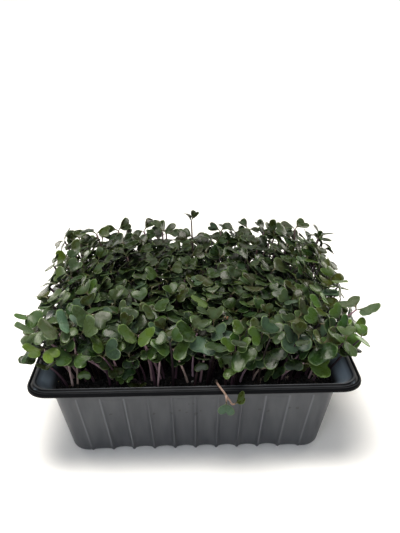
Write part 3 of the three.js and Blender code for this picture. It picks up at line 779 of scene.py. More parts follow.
@dataclass
class GrowingMedium:
    """The tray's filling: settled compost with crumbs, chips and a little grit on it."""

    tray: Tray
    level: float = 56.0
    bump: float = 0.9
    edge_drop: float = 3.0
    gap: float = 0.3
    side_levels: tuple[float, ...] = (1.8, 3.2, 6.0, 47.5, 50.5)
    rings: int = 44
    crumbs: int = 1500
    grain_mm: Span = (1.8, 9.0)
    grain_waves: int = 26
    grain_slope: float = 0.028
    crumb_kinds: tuple[tuple[str, float, Span], ...] = (
        ("#0e0c0b", 0.62, (0.7, 1.9)), ("#1c1512", 0.2, (0.6, 1.7)), ("#35291f", 0.1, (0.4, 1.2)),
        ("#55504b", 0.06, (0.35, 0.9)), ("#7d7466", 0.02, (0.3, 0.7))
    )
    crumb_rough: Span = (0.72, 1.0)
    crumb_width: Span = (0.5, 0.9)
    crumb_height: Span = (0.35, 0.8)
    crumb_tip: float = 0.6
    crumb_lift: float = 0.15
    crumb_clear: float = 1.6
    front_share: float = 0.5
    front_band: float = 9.0
    side_share: float = 0.3
    side_band: float = 7.0
    edge_span: float = 4.0
    pale_bits: tuple[tuple[float, float, float, float, str], ...] = (
        (-98.2, -50.0, 54.2, 0.9, "#8f7a54"), (-95.6, -51.5, 54.5, 1.2, "#9a835c"),
        (-93.8, -54.0, 54.6, 0.8, "#7d6b4c"), (-91.2, -55.5, 54.2, 1.0, "#8f7a54"),
        (-88.6, -56.4, 54.1, 0.7, "#7d6b4c"), (-79.0, -56.2, 54.6, 0.9, "#857a66"),
        (-76.0, -56.0, 54.8, 1.0, "#9b8f78"), (-1.6, -56.0, 55.6, 1.4, "#8c8a86"),
        (2.0, -57.0, 55.2, 0.8, "#6f6a62"), (-27.0, -46.5, 57.0, 1.5, "#6d6258"),
        (-24.0, -45.0, 57.4, 1.2, "#5c534c")
    )
    seed: int = 41

    def height(self, x: Array, y: Array) -> Array:
        """The settled surface's height over a place, as the solid has it."""
        waves = np.sin(0.21 * x + 1.3) * np.cos(0.27 * y) + 0.6 * np.sin(0.53 * x - 0.41 * y)
        return self.level + self.bump * waves

    def grains(self, x: Array, y: Array) -> Array:
        """The surface's clods and crumbs, as a sum of short waves."""
        random = np.random.default_rng(self.seed)
        relief = np.zeros_like(x)
        for _ in range(self.grain_waves):
            length = random.uniform(*self.grain_mm)
            turn, phase = random.uniform(0, 2 * math.pi, 2)
            wave = 2 * math.pi / length * (x * math.cos(turn) + y * math.sin(turn)) + phase
            relief += length * np.sin(wave)
        return self.grain_slope * relief

    def ground(self, draft: MeshDraft) -> None:
        """Adds the body of compost.

        Args:
            draft: the piece's draft.
        """
        tray = self.tray
        rings = []
        for z in self.side_levels:
            inset = float(section_at(tray.inside_section, z)) + self.gap * 1.5
            rings.append(tray.outline(inset, tray.corner(inset), z))
        edge_height = self.level - self.edge_drop
        inset = float(section_at(tray.inside_section, edge_height)) + self.gap * 2
        edge = tray.outline(inset, tray.corner(inset), edge_height)
        rings.append(edge)
        for step in range(1, self.rings):
            share = 1 - step / self.rings
            ring = edge.copy()
            ring[:, :2] *= share
            x, y = ring[:, 0], ring[:, 1]
            settled = min(step / 3, 1.0)
            top = self.height(x, y) + self.grains(x, y)
            ring[:, 2] = mix(np.full(len(x), edge[0, 2]), top, settled)
            rings.append(ring)
        top = [0.0, 0.0, float(self.height(np.zeros(1), np.zeros(1))[0])]
        points = np.vstack([*rings, [[0, 0, self.side_levels[0]]], [top]])
        draft.add(points, closed_faces(len(rings), len(edge)), Finish.COMPOST)

    def __post_init__(self) -> None:
        """Works out the plain crumb, a ball of twenty triangles about its own middle."""
        golden = (1 + math.sqrt(5)) / 2
        pairs = [(a, b) for a in (-1.0, 1.0) for b in (-golden, golden)]
        corners = [spot for a, b in pairs for spot in ((0, a, b), (a, b, 0), (b, 0, a))]
        self.crumb_points = np.array(corners) / math.hypot(1, golden)
        faces = []
        for trio in itertools.combinations(range(12), 3):
            a, b, c = self.crumb_points[list(trio)]
            if max(np.linalg.norm(a - b), np.linalg.norm(b - c), np.linalg.norm(c - a)) < 1.1:
                outward = np.dot(np.cross(b - a, c - a), a) > 0
                faces.append(trio if outward else (trio[0], trio[2], trio[1]))
        self.crumb_faces = np.array(faces)

    def shaped(self, random: np.random.Generator, size: float) -> tuple[Array, Array]:
        """The plain crumb, squashed, roughened and turned.

        Args:
            random: the source of its shape.
            size: its longest half.

        Returns:
            Its points and its triangles.
        """
        points = self.crumb_points
        rough = points * random.uniform(*self.crumb_rough, (len(points), 1))
        wide, high = random.uniform(*self.crumb_width), random.uniform(*self.crumb_height)
        rough = rough * (size * np.array([1.0, wide, high]))
        turn, tip = random.uniform(0, 2 * math.pi), random.uniform(-self.crumb_tip, self.crumb_tip)
        spin = np.array(Matrix.Rotation(turn, 3, "Z") @ Matrix.Rotation(tip, 3, "X"))
        return rough @ spin.T, self.crumb_faces

    def scatter(self, draft: MeshDraft) -> None:
        """Adds crumbs, bark chips and grit, more of them where the surface shows.

        Args:
            draft: the piece's draft.
        """
        random = np.random.default_rng(self.seed + 1)
        inset = float(section_at(self.tray.inside_section, self.level)) + self.crumb_clear
        half_x, half_y = self.tray.width / 2 - inset, self.tray.depth / 2 - inset
        kinds = self.crumb_kinds
        shares = np.array([kind[1] for kind in kinds])
        self.shaped(random, 1.0)  # a first crumb that isn't used, drawn only to move the random draws on
        for _ in range(self.crumbs):
            x = random.uniform(-half_x, half_x)
            y = random.uniform(-half_y, half_y)
            if random.random() < self.front_share:
                y = -half_y + abs(random.normal(0, self.front_band))
            elif random.random() < self.side_share:
                x = math.copysign(half_x - abs(random.normal(0, self.side_band)), x)
            corner = self.tray.corner(inset)
            over = np.array([abs(x) - (half_x - corner), abs(y) - (half_y - corner)])
            if (over > 0).all() and np.hypot(*over) > corner - 1:
                continue
            code, _, sizes = kinds[random.choice(len(kinds), p=shares / shares.sum())]
            size = random.uniform(*sizes)
            points, faces = self.shaped(random, size)
            spot = np.array([x]), np.array([y])
            settled = min(max((half_y - abs(y)) / self.edge_span, 0.0), 1.0)
            settled *= min(max((half_x - abs(x)) / self.edge_span, 0), 1)
            ground = float((self.height(*spot) + self.grains(*spot))[0])
            top = mix(self.level - self.edge_drop, ground, settled)
            points = points + np.array([x, y, top + size * self.crumb_lift])
            draft.add(points, [faces], Finish.GRIT, tint=tint_of(code))
        for x, y, z, size, code in self.pale_bits:
            points, faces = self.shaped(random, size)
            draft.add(points + np.array([x, y, z]), [faces], Finish.GRIT, tint=tint_of(code))

    def build(self, materials: Looks) -> bpy.types.Object:
        """Makes the growing medium.

        Args:
            materials: the material of each finish.

        Returns:
            The piece.
        """
        draft = MeshDraft("compost_fill")
        self.ground(draft)
        self.scatter(draft)
        return draft.build(materials)


# Seedlings


class Tone(Enum):
    """The greens that the leaves come in."""

    SAGE = "#2f3924"
    BLUE = "#364638"
    GREEN = "#283817"
    DEEP = "#15240c"
    OLIVE = "#292d11"
    YOUNG = "#38491c"


class StemTone(Enum):
    """The colours of stems: each has the hues that it may have at its pale and its dark end."""

    # partly the stems' own pale pink and partly painted light, for the front stems in the open
    PINK = (("#c9b4ae", "#bda4a6", "#b39aa8", "#c0b19d"), ("#7f5f6f", "#6c4d62", "#856870"))
    PURPLE = (("#66505a", "#5a434f", "#5d4c48"), ("#301a27", "#281722", "#3a2730"))
    # the purple darkened by painted shade, for the stems under the canopy
    PAINTED_SHADE = (("#2e2227", "#281d22", "#2f2722"), ("#160c12", "#120b0f", "#1a1115"))


@dataclass(frozen=True)
class Leaf:
    """How one seed leaf stands at its joint: turns in radians, its size against the usual, and
    how it bends across and along."""

    azimuth: float
    rise: float
    roll: float
    size: float
    cup: float = 0.01
    arch: float = 0.01

    @classmethod
    def in_degrees(cls, azimuth: float, rise: float, roll: float, *more: float) -> "Leaf":
        """A leaf whose turns are told in degrees."""
        return cls(math.radians(azimuth), math.radians(rise), math.radians(roll), *more)

    def axes(self) -> tuple[Array, Array, Array]:
        """Along the leaf, across it, and out of its upper face."""
        flat = np.array([math.cos(self.azimuth), math.sin(self.azimuth), 0.0])
        up = np.array([0.0, 0.0, 1.0])
        level = np.cross(up, flat)
        along = flat * math.cos(self.rise) + up * math.sin(self.rise)
        above = np.cross(along, level)
        across = level * math.cos(self.roll) + above * math.sin(self.roll)
        return along, across, np.cross(along, across)

    def spread(self, joint: Array, along: Array, across: Array, lift: Array) -> Array:
        """Points at distances along the leaf, across it and out of its upper face."""
        ahead, aside, face = self.axes()
        return joint + along[..., None] * ahead + across[..., None] * aside + lift[..., None] * face


@dataclass
class Seedling:
    """One seedling: where it is rooted, where its leaves meet, and the leaves."""

    root: Array
    joint: Array
    leaves: list[Leaf]
    tone: Optional[Tone] = None
    depth: float = 0.0
    stem_tone: StemTone = StemTone.PURPLE


@dataclass(frozen=True)
class Placed:
    """A seedling that is plain to see: the place of its leaf joint, and the azimuth, rise and
    roll in degrees and the size of each leaf."""

    at: Spot
    leaves: tuple[tuple[float, ...], ...]
    tone: Tone


@dataclass(frozen=True)
class Bent:
    """A seedling whose stem bends along a path, with leaves at its end."""

    path: tuple[Spot, ...]
    leaves: tuple[tuple[float, ...], ...]
    tone: Tone


class SeededRandom:
    """A multiplicative generator, the same as the one that placed the solids."""

    def __init__(self, seed: int) -> None:
        """Starts it at a seed."""
        self.state = seed

    def __call__(self) -> float:
        """The next number from 0 to 1."""
        self.state = self.state * 48271 % 2147483647
        return self.state / 2147483647

    def between(self, low: float, high: float) -> float:
        """The next number from low to high."""
        return low + (high - low) * self()


@dataclass
class Clump:
    """A small plug of rooted medium and the seedlings on it."""

    name: str
    x: float
    y: float
    turn: float
    seedlings: list[Seedling] = field(default_factory=list)


class TakenRoom:
    """The room that seedlings already take up, as points that each keep some round them."""

    most: int = 20000
    widest: float = 2.2  # more than any point keeps

    def __init__(self) -> None:
        """Starts with all the room free."""
        self.points = np.zeros((self.most, 3))
        self.rooms = np.zeros(self.most)
        self.count = 0

    def take(self, points: Array, rooms: Array) -> None:
        """Takes up room.

        Args:
            points: the points.
            rooms: the room that each keeps.
        """
        total = self.count + len(points)
        self.points[self.count : total] = points
        self.rooms[self.count : total] = rooms
        self.count = total

    def is_free(self, points: Array, rooms: Array) -> bool:
        """Whether none of the points comes too near one that is taken.

        Args:
            points: the points.
            rooms: the room that each needs.
        """
        taken, kept = self.points[: self.count], self.rooms[: self.count]
        reach = rooms.max() + self.widest
        near = ((taken > points.min(0) - reach) & (taken < points.max(0) + reach)).all(1)
        taken, kept = taken[near], kept[near]
        far = ((points[:, None, :] - taken[None, :, :]) ** 2).sum(2)
        return bool((far > (rooms[:, None] + kept[None, :]) ** 2).all())


@dataclass
class Stand:
    """The stand of seedlings: the rule by which they are sown and how their leaves are held."""

    tray: Tray
    medium: GrowingMedium
    columns: int = 7
    rows: int = 6
    spread_x: float = 85.0
    spread_y: float = 54.5
    jitter: float = 1.5
    plug_radius: float = 8.0
    plug_depth: float = 8.0
    stem_ring: float = 4.5
    stem_ring_share: Span = (0.75, 1.0)
    to_a_clump: int = 3
    tries: int = 200
    seed: int = 20261
    canopy_front: float = 97.0
    canopy_back: float = 123.0
    shoulder: float = 70.0
    shoulder_span: float = 45.0
    shoulder_fall: float = 5.0
    lean_out: Span = (0.2, 0.24)
    lean_wander: float = 7.0
    upper_share: float = 0.55
    upper_drop: Span = (-3.0, 7.0)
    lower_drop: Span = (7.0, 26.0)
    shaded_drop: float = 16.0
    shaded_share: float = 0.85
    front_drop_share: float = 0.35
    front_drop: Span = (-32.0, -52.0)
    head_half: float = 0.55
    root_sink: float = 3.0
    stem_bend: float = 1.5
    cup: Span = (-0.008, 0.028)
    arch: Span = (0.006, 0.02)
    leaf_size: Span = (0.74, 1.0)
    leaf_uneven: Span = (0.92, 1.08)
    leaf_rise: Span = (-0.05, 0.4)
    rise_wander: float = 0.28
    turn_wander: float = 0.25
    roll_wander: float = 0.5
    tip_tilt: float = 0.032
    back_turn: float = -0.5
    spot_wander: float = 0.35
    stem_samples: int = 14
    leaf_room: float = 1.75
    stem_room: float = 1.6
    wall_clear: float = 0.5
    soil_clear: float = 4.0
    leaf_samples: tuple[Span, ...] = (
        (3, 0), (6, 2.6), (6, -2.6), (8.5, 0), (8.2, 5.8), (8.2, -5.8), (10.8, 2.8), (10.8, -2.8), (10.2, 7),
        (10.2, -7), (12.4, 4.8), (12.4, -4.8)
    )
    outliers: tuple[tuple[float, ...], ...] = (
        (0, 60, 140, 25, 0.55, 45), (-24, 58, 131, 160, 0.8, 25), (24, 60, 130, 10, 0.75, 30),
        (86, 60, 131, 5, 0.85, 15), (106, 56, 124, 30, 0.8, 20), (-80, 62, 129, 170, 0.9, 15)
    )
    front_row: tuple[Placed, ...] = (
        Placed((24.8, -72, 89.6), ((-46, -8, 35, 1.3), (-121, -56, -10, 0.85)), Tone.GREEN),
        Placed((-101.4, -74, 94.3), ((-123, 19, -25, 1), (-31, -14, 15, 0.85)), Tone.YOUNG),
        Placed((67.7, -58, 98.1), ((-83, -16, 10, 1.4), (122, 3, -20, 0.8)), Tone.BLUE),
        Placed((40.4, -60, 92.7), ((-155, 32, -50, 1.3), (-61, 7, 40, 0.95)), Tone.GREEN),
        Placed((-15, -70, 91.7), ((-133, 28, -35, 1.05), (-46, 13, 35, 1)), Tone.GREEN),
        Placed((-107.3, -64, 101.9), ((-120, 32, -20, 0.95), (-46, -15, 20, 0.9)), Tone.SAGE),
        Placed((10, -60, 96.5), ((-106, -17, -15, 1.3), (-41, 22, 30, 1.05)), Tone.BLUE),
        Placed((45.8, -50, 93.6), ((39, 6, 60, 1.35), (-134, 13, -30, 0.85)), Tone.OLIVE),
        Placed((81.7, -44, 100.8), ((40, -4, 50, 1.3), (-135, 8, -30, 0.9)), Tone.SAGE),
        Placed((81.7, -64, 88.5), ((-69, -5, 25, 1.3), (-177, -26, -15, 0.9)), Tone.DEEP),
        Placed((96.8, -60, 91.5), ((-24, -9, 12, 1.3), (-133, 2, -20, 0.85)), Tone.GREEN),
        Placed((-81.9, -68, 89.8), ((-138, 10, -20, 1.2), (-40, -5, 20, 1)), Tone.GREEN),
        Placed((0.8, -62, 97.4), ((-136, 17, -30, 1.15), (70, 27, 10, 1)), Tone.GREEN),
        Placed((64.6, -47, 92.4), ((70, 26, -10, 1.15), (-131, 0, -30, 0.95)), Tone.GREEN),
        Placed((-93.5, -60, 98.8), ((-124, 30, -35, 1.15), (-37, 0, 20, 0.9)), Tone.SAGE),
        Placed((-71.2, -50, 108.6), ((-124, 11, -50, 1.1), (-33, -10, 35, 1.05)), Tone.SAGE),
        Placed((116.5, -45, 106.1), ((-57, 12, 10, 1.05), (120, 15, -20, 1.1)), Tone.SAGE),
        Placed((20.8, -44, 99.7), ((128, -6, -35, 1), (36, -1, 40, 1.1)), Tone.OLIVE),
        Placed((-15.9, -50, 95.7), ((69, 13, 15, 1.15), (175, 5, -20, 0.8)), Tone.OLIVE),
        Placed((50.9, -68, 89.1), ((-53, -7, 25, 1.15), (-148, 7, -20, 0.8)), Tone.DEEP),
        Placed((-21.2, -55, 99.2), ((-123, 13, -20, 0.9), (-40, -6, 30, 1.1)), Tone.BLUE),
        Placed((-36.7, -66, 97.7), ((-132, 19, -35, 1.05), (-43, 4, 35, 1)), Tone.YOUNG),
        Placed((-36.1, -57, 95.1), ((118, 20, 0, 1.1), (10, 12, 20, 0.8)), Tone.BLUE),
        Placed((36.6, -60, 87.3), ((-78, -21, 10, 1.05), (-186, -7, -15, 0.85)), Tone.DEEP),
        Placed((-84.6, -56, 102.6), ((-121, 28, -55, 1.05), (62, 1, 20, 0.8)), Tone.BLUE),
        Placed((-59.2, -66, 91.2), ((-134, 36, -35, 1), (-44, 2, 30, 0.95)), Tone.YOUNG),
        Placed((-54.8, -52, 96), ((-119, 15, -30, 1), (68, 5, 20, 0.9)), Tone.SAGE),
        Placed((90.2, -50, 94.2), ((-46, 12, 60, 0.9), (-131, -1, -30, 0.9)), Tone.BLUE),
        Placed((-117, -50, 108.8), ((-98, 10, -20, 0.6), (-28, -13, 25, 0.9)), Tone.GREEN),
        Placed((110.9, -52, 94), ((-42, 26, 60, 0.85), (120, 12, -30, 0.6)), Tone.YOUNG),
        Placed((27.9, -70, 95), ((-135, 11, -30, 0.8), (-42, 4, 30, 0.75)), Tone.YOUNG)
    )
    front_row_wander: float = 4.0
    fallen_paths: tuple[tuple[Spot, ...], ...] = (
        (
            (14.5, -56, 53.5), (15.1, -63, 60.5), (15.2, -72, 64.4), (15.3, -79.8, 68.3), (16.8, -83.4, 67.8),
            (19, -86.6, 66.3), (20.6, -88.4, 64.6), (23.3, -90, 60.9), (24.6, -91, 59.1), (26.4, -91.2, 59.5)
        ),
        ((20.6, -88.4, 64.6), (20.9, -89.2, 62.4), (20.8, -89.6, 60.6))
    )
    fallen_leaves: tuple[tuple[float, ...], ...] = (
        (-2, 40, 9, 0.66, 0.02, -0.01), (-98, -78, 0, 0.7, -0.02, 0)
    )

    left_out: list[Placed] = field(default_factory=list)

    def stem_points(self, seedling: Seedling, shares: Array) -> Array:
        """Points along a stem, at shares of its height."""
        bend = np.asarray(shares)[:, None] ** self.stem_bend
        points = mix(seedling.root, seedling.joint, bend)
        points[:, 2] = mix(seedling.root[2], seedling.joint[2], np.asarray(shares))
        return points

    def leaf_points(self, joint: Array, leaf: Leaf, spots: Array) -> Array:
        """Points of a leaf's middle surface, from places along and across it."""
        along, across = spots[:, 0] * leaf.size, spots[:, 1] * leaf.size
        lift = leaf.cup * across**2 - leaf.arch * along**2
        return leaf.spread(joint, along + self.head_half, across, lift)

    def samples(self, seedling: Seedling) -> tuple[Array, Array]:
        """Points that stand for a seedling where it is tested for room, and the room of each."""
        shares = np.arange(1, self.stem_samples + 1) / self.stem_samples
        spots = np.array(self.leaf_samples, dtype=float)
        rooms = [self.stem_room] * len(shares) + [self.leaf_room] * (len(spots) * 2)
        return self.points_of(seedling, shares, spots), np.array(rooms)

    def points_of(self, seedling: Seedling, shares: Array, spots: Array) -> Array:
        """Points at shares of a seedling's stem, then at spots of each leaf."""
        leaves = [self.leaf_points(seedling.joint, leaf, spots) for leaf in seedling.leaves]
        return np.vstack([self.stem_points(seedling, shares), *leaves])

    def clear_of_tray(self, points: Array, rooms: Array, stems: int) -> bool:
        """Whether points clear the tray's inner side and, after the stem's own, the ground."""
        inset = np.minimum(
            self.tray.width / 2 - np.abs(points[:, 0]), self.tray.depth / 2 - np.abs(points[:, 1])
        )
        margin = rooms + self.wall_clear
        wall = section_at(self.tray.inside_section, points[:, 2]) + margin
        hits = (points[:, 2] < self.tray.height + margin) & (inset < wall)
        grounded = points[:, 2] <= self.medium.level + self.soil_clear + rooms
        grounded[:stems] = False
        return not (hits | grounded).any()

    def canopy_height(self, x: float, y: float) -> float:
        """The canopy's height over a place, lower at its left and right edges."""
        shoulder = max(abs(x) - self.shoulder, 0) / self.shoulder_span
        share = (y + self.tray.depth / 2) / self.tray.depth
        return mix(self.canopy_front, self.canopy_back, share) - self.shoulder_fall * shoulder**2

    def leaf_pair(self, random: SeededRandom, turn: float, size: float, rise: float, tip: Span) -> list[Leaf]:
        """Two leaves on opposite sides of the joint, tipped with the stem's lean."""
        pair = []
        for half in (0.0, math.pi):
            azimuth = turn + half + random.between(-self.turn_wander, self.turn_wander)
            ahead, aside = self.tilts(tip, azimuth)
            lift = rise - ahead + random.between(-self.rise_wander, self.rise_wander)
            roll = aside + random.between(-self.roll_wander, self.roll_wander)
            whole = size * random.between(*self.leaf_uneven)
            pair.append(Leaf(azimuth, lift, roll, whole, *self.leaf_bend(random)))
        return pair

    def tilts(self, tip: Sequence[float], azimuth: float) -> Span:
        """How far a stem's lean tips a leaf forward and to its side, in radians."""
        x, y = tip[0], tip[1] * (self.back_turn if tip[1] > 0 else 1)
        ahead = x * math.cos(azimuth) + y * math.sin(azimuth)
        aside = x * math.sin(azimuth) - y * math.cos(azimuth)
        return self.tip_tilt * ahead, self.tip_tilt * aside

    def leaf_bend(self, random: SeededRandom) -> Span:
        """How one leaf bends across and along."""
        return random.between(*self.cup), random.between(*self.arch)

    def root_height(self, x: float, y: float) -> float:
        """The height of a stem's foot at a place."""
        return float(self.medium.height(np.float64(x), np.float64(y))) - self.root_sink

    def root_at(self, clump: Clump, x: float, y: float, share: float) -> Array:
        """A stem's foot on its clump's plug, in a direction from the plug's middle."""
        reach = self.stem_ring * share
        return np.array([clump.x + reach * x, clump.y + reach * y, self.root_height(clump.x, clump.y)])

    def drop_share(self, y: float) -> float:
        """How much of a joint's drop is left for a root at a distance from the front."""
        start, end = self.front_drop
        return mix(1.0, self.front_drop_share, min(max((start - y) / (start - end), 0.0), 1.0))

    def draw(self, random: SeededRandom, clump: Clump, index: int) -> Seedling:
        """Draws one seedling of a clump."""
        wander = random.between(-self.spot_wander, self.spot_wander)
        spot = clump.turn + index / self.to_a_clump * 2 * math.pi + wander
        share = random.between(*self.stem_ring_share)
        root = self.root_at(clump, math.cos(spot), math.sin(spot), share)
        tip = (
            root[0] * self.lean_out[0] + random.between(-self.lean_wander, self.lean_wander),
            root[1] * self.lean_out[1] + random.between(-self.lean_wander, self.lean_wander)
        )
        x, y = root[0] + tip[0], root[1] + tip[1]
        layer = self.upper_drop if random() < self.upper_share else self.lower_drop
        drop = random.between(*layer) * self.drop_share(root[1])
        joint = np.array([x, y, self.canopy_height(x, y) - drop])
        turn = random.between(0, math.pi)
        shaded = self.shaded_share if drop > self.shaded_drop else 1.0
        size = random.between(*self.leaf_size) * shaded
        rise = random.between(*self.leaf_rise)
        return Seedling(root, joint, self.leaf_pair(random, turn, size, rise, tip), depth=drop)

    def draw_outlier(self, random: SeededRandom, clump: Clump, facts: tuple[float, ...]) -> Seedling:
        """Draws one seedling that stands out of the canopy."""
        x, y, z, turn, size, rise = facts
        away = np.array([x - clump.x, y - clump.y])
        away = away / np.linalg.norm(away)
        root = self.root_at(clump, away[0], away[1], 1.0)
        pair = self.leaf_pair(random, math.radians(turn), size, math.radians(rise), (0.0, 0.0))
        return Seedling(root, np.array([x, y, z], dtype=float), pair)

    def draw_placed(self, random: SeededRandom, clump: Clump, placed: Placed, stray: float) -> Seedling:
        """Draws a placed seedling, strayed further from its place the more tries it has had."""
        joint = np.array([value + random.between(-stray, stray) for value in placed.at])
        spot = random.between(0, 2 * math.pi)
        root = self.root_at(clump, math.cos(spot), math.sin(spot), 1.0)
        pair = [Leaf.in_degrees(*facts, *self.leaf_bend(random)) for facts in placed.leaves]
        return Seedling(root, joint, pair, tone=placed.tone, stem_tone=StemTone.PINK)

    def clump_sites(self, random: SeededRandom) -> list[Clump]:
        """The clumps' places, row by row from the front."""
        sites = []
        for row in range(self.rows):
            for column in range(self.columns):
                x = mix(-self.spread_x, self.spread_x, column / (self.columns - 1))
                x += random.between(-self.jitter, self.jitter)
                y = mix(-self.spread_y, self.spread_y, row / (self.rows - 1))
                y += random.between(-self.jitter, self.jitter)
                turn = random.between(0, math.pi)
                sites.append(Clump(f"seedling_clump_{row + 1}_{column + 1}", x, y, turn))
        return sites

    def nearest(self, sites: list[Clump], x: float, y: float) -> Clump:
        """The clump whose seedlings lean nearest to a place."""
        out_x, out_y = 1 + self.lean_out[0], 1 + self.lean_out[1]
        return min(sites, key=lambda site: (site.x * out_x - x) ** 2 + (site.y * out_y - y) ** 2)

    def sow(self) -> list[Clump]:
        """Sows the solids' own seedlings again, and returns the clumps that hold them."""
        random = SeededRandom(self.seed)
        sites = self.clump_sites(random)
        taken = TakenRoom()
        spots = np.array(self.leaf_samples, dtype=float)
        for path, facts in zip(self.fallen_paths, self.fallen_leaves):
            points = np.array(path, dtype=float)
            taken.take(points, np.full(len(points), self.stem_room))
            blade = self.leaf_points(points[-1], Leaf.in_degrees(*facts), spots)
            taken.take(blade, np.full(len(blade), self.leaf_room))

        def keep(site: Clump, seedling: Seedling) -> bool:
            """Keeps a seedling if it has room."""
            points, rooms = self.samples(seedling)
            if not self.clear_of_tray(points, rooms, self.stem_samples):
                return False
            if not taken.is_free(points, rooms):
                return False
            taken.take(points, rooms)
            site.seedlings.append(seedling)
            return True

        for facts in self.outliers:
            site = self.nearest(sites, facts[0], facts[1])
            for _ in range(self.tries):
                if keep(site, self.draw_outlier(random, site, facts)):
                    break
        for placed in self.front_row:
            site = self.nearest(sites, *placed.at[:2])
            for attempt in range(self.tries):
                stray = self.front_row_wander * attempt / self.tries
                if keep(site, self.draw_placed(random, site, placed, stray)):
                    break
            else:
                self.left_out.append(placed)
        for site in sites:
            for index in range(len(site.seedlings), self.to_a_clump):
                for _ in range(self.tries):
                    if keep(site, self.draw(random, site, index)):
                        break
        return sites


# Finer seedlings


@dataclass
class LeafShape:
    """A seed leaf's finer form: rows of points from its stalk to its notch, margins rounded."""

    middle: tuple[float, ...] = (0.0, 1.3, 2.3, 3.0, 3.8, 4.9, 6.2, 7.5, 8.7, 9.7, 10.4, 10.9, 11.25, 11.4)
    edge: tuple[Span, ...] = (
        (0.0, 0.62), (1.3, 0.56), (2.2, 0.85), (2.8, 2.0), (3.5, 3.6), (4.7, 5.5), (6.4, 7.2), (8.3, 8.2),
        (10.1, 8.4), (11.6, 7.7), (12.6, 6.4), (13.0, 4.7), (12.8, 2.8), (12.0, 1.0)
    )
    columns: tuple[float, ...] = (0.0, 0.38, 0.7, 0.91, 1.0)
    stalk_rows: int = 4
    stalk_half: float = 0.5
    blade_half: float = 0.23
    fork_drop: float = 2.4
    stalk_run: float = 4.6
    notch_reach: Span = (-0.1, 0.1)

    def __post_init__(self) -> None:
        """Works out the grid that every leaf shares."""
        rows, half = len(self.middle), len(self.columns)
        shares = np.array([-c for c in self.columns[:0:-1]] + list(self.columns))
        middle, edge = np.array(self.middle)[:, None], np.array(self.edge)
        across = np.abs(shares)[None, :]
        self.along = middle + (edge[:, :1] - middle) * across
        self.across = edge[:, 1:] * shares[None, :]
        row = np.arange(rows)[:, None]
        thick = np.where(row < self.stalk_rows, self.stalk_half, self.blade_half)
        power = np.where(row < self.stalk_rows, 2.0, 5.0)
        self.half = thick * np.sqrt(np.clip(1 - across**power, 0, 1))
        self.place = np.stack(
            [np.broadcast_to(row / (rows - 1), self.along.shape), np.broadcast_to(shares, self.along.shape)],
            axis=-1
        )
        width = 2 * half - 1
        self.end = np.clip((self.along - 7.0) / 4.5, 0, 1) ** 1.5
        upper = np.arange(rows * width).reshape(rows, width)
        rim = np.zeros((rows, width), dtype=bool)
        rim[:, 0] = rim[:, -1] = rim[0, :] = rim[-1, :] = True
        lower = np.full((rows, width), -1)
        lower[rim] = upper[rim]
        lower[~rim] = rows * width + np.arange((~rim).sum())
        self.rim, self.inner = rim, ~rim
        top, under = (
            np.stack([grid[:-1, :-1], grid[1:, :-1], grid[1:, 1:], grid[:-1, 1:]], axis=-1).reshape(-1, 4)
            for grid in (upper, lower)
        )
        self.faces = np.vstack([top, under[:, [0, 3, 2, 1]]])


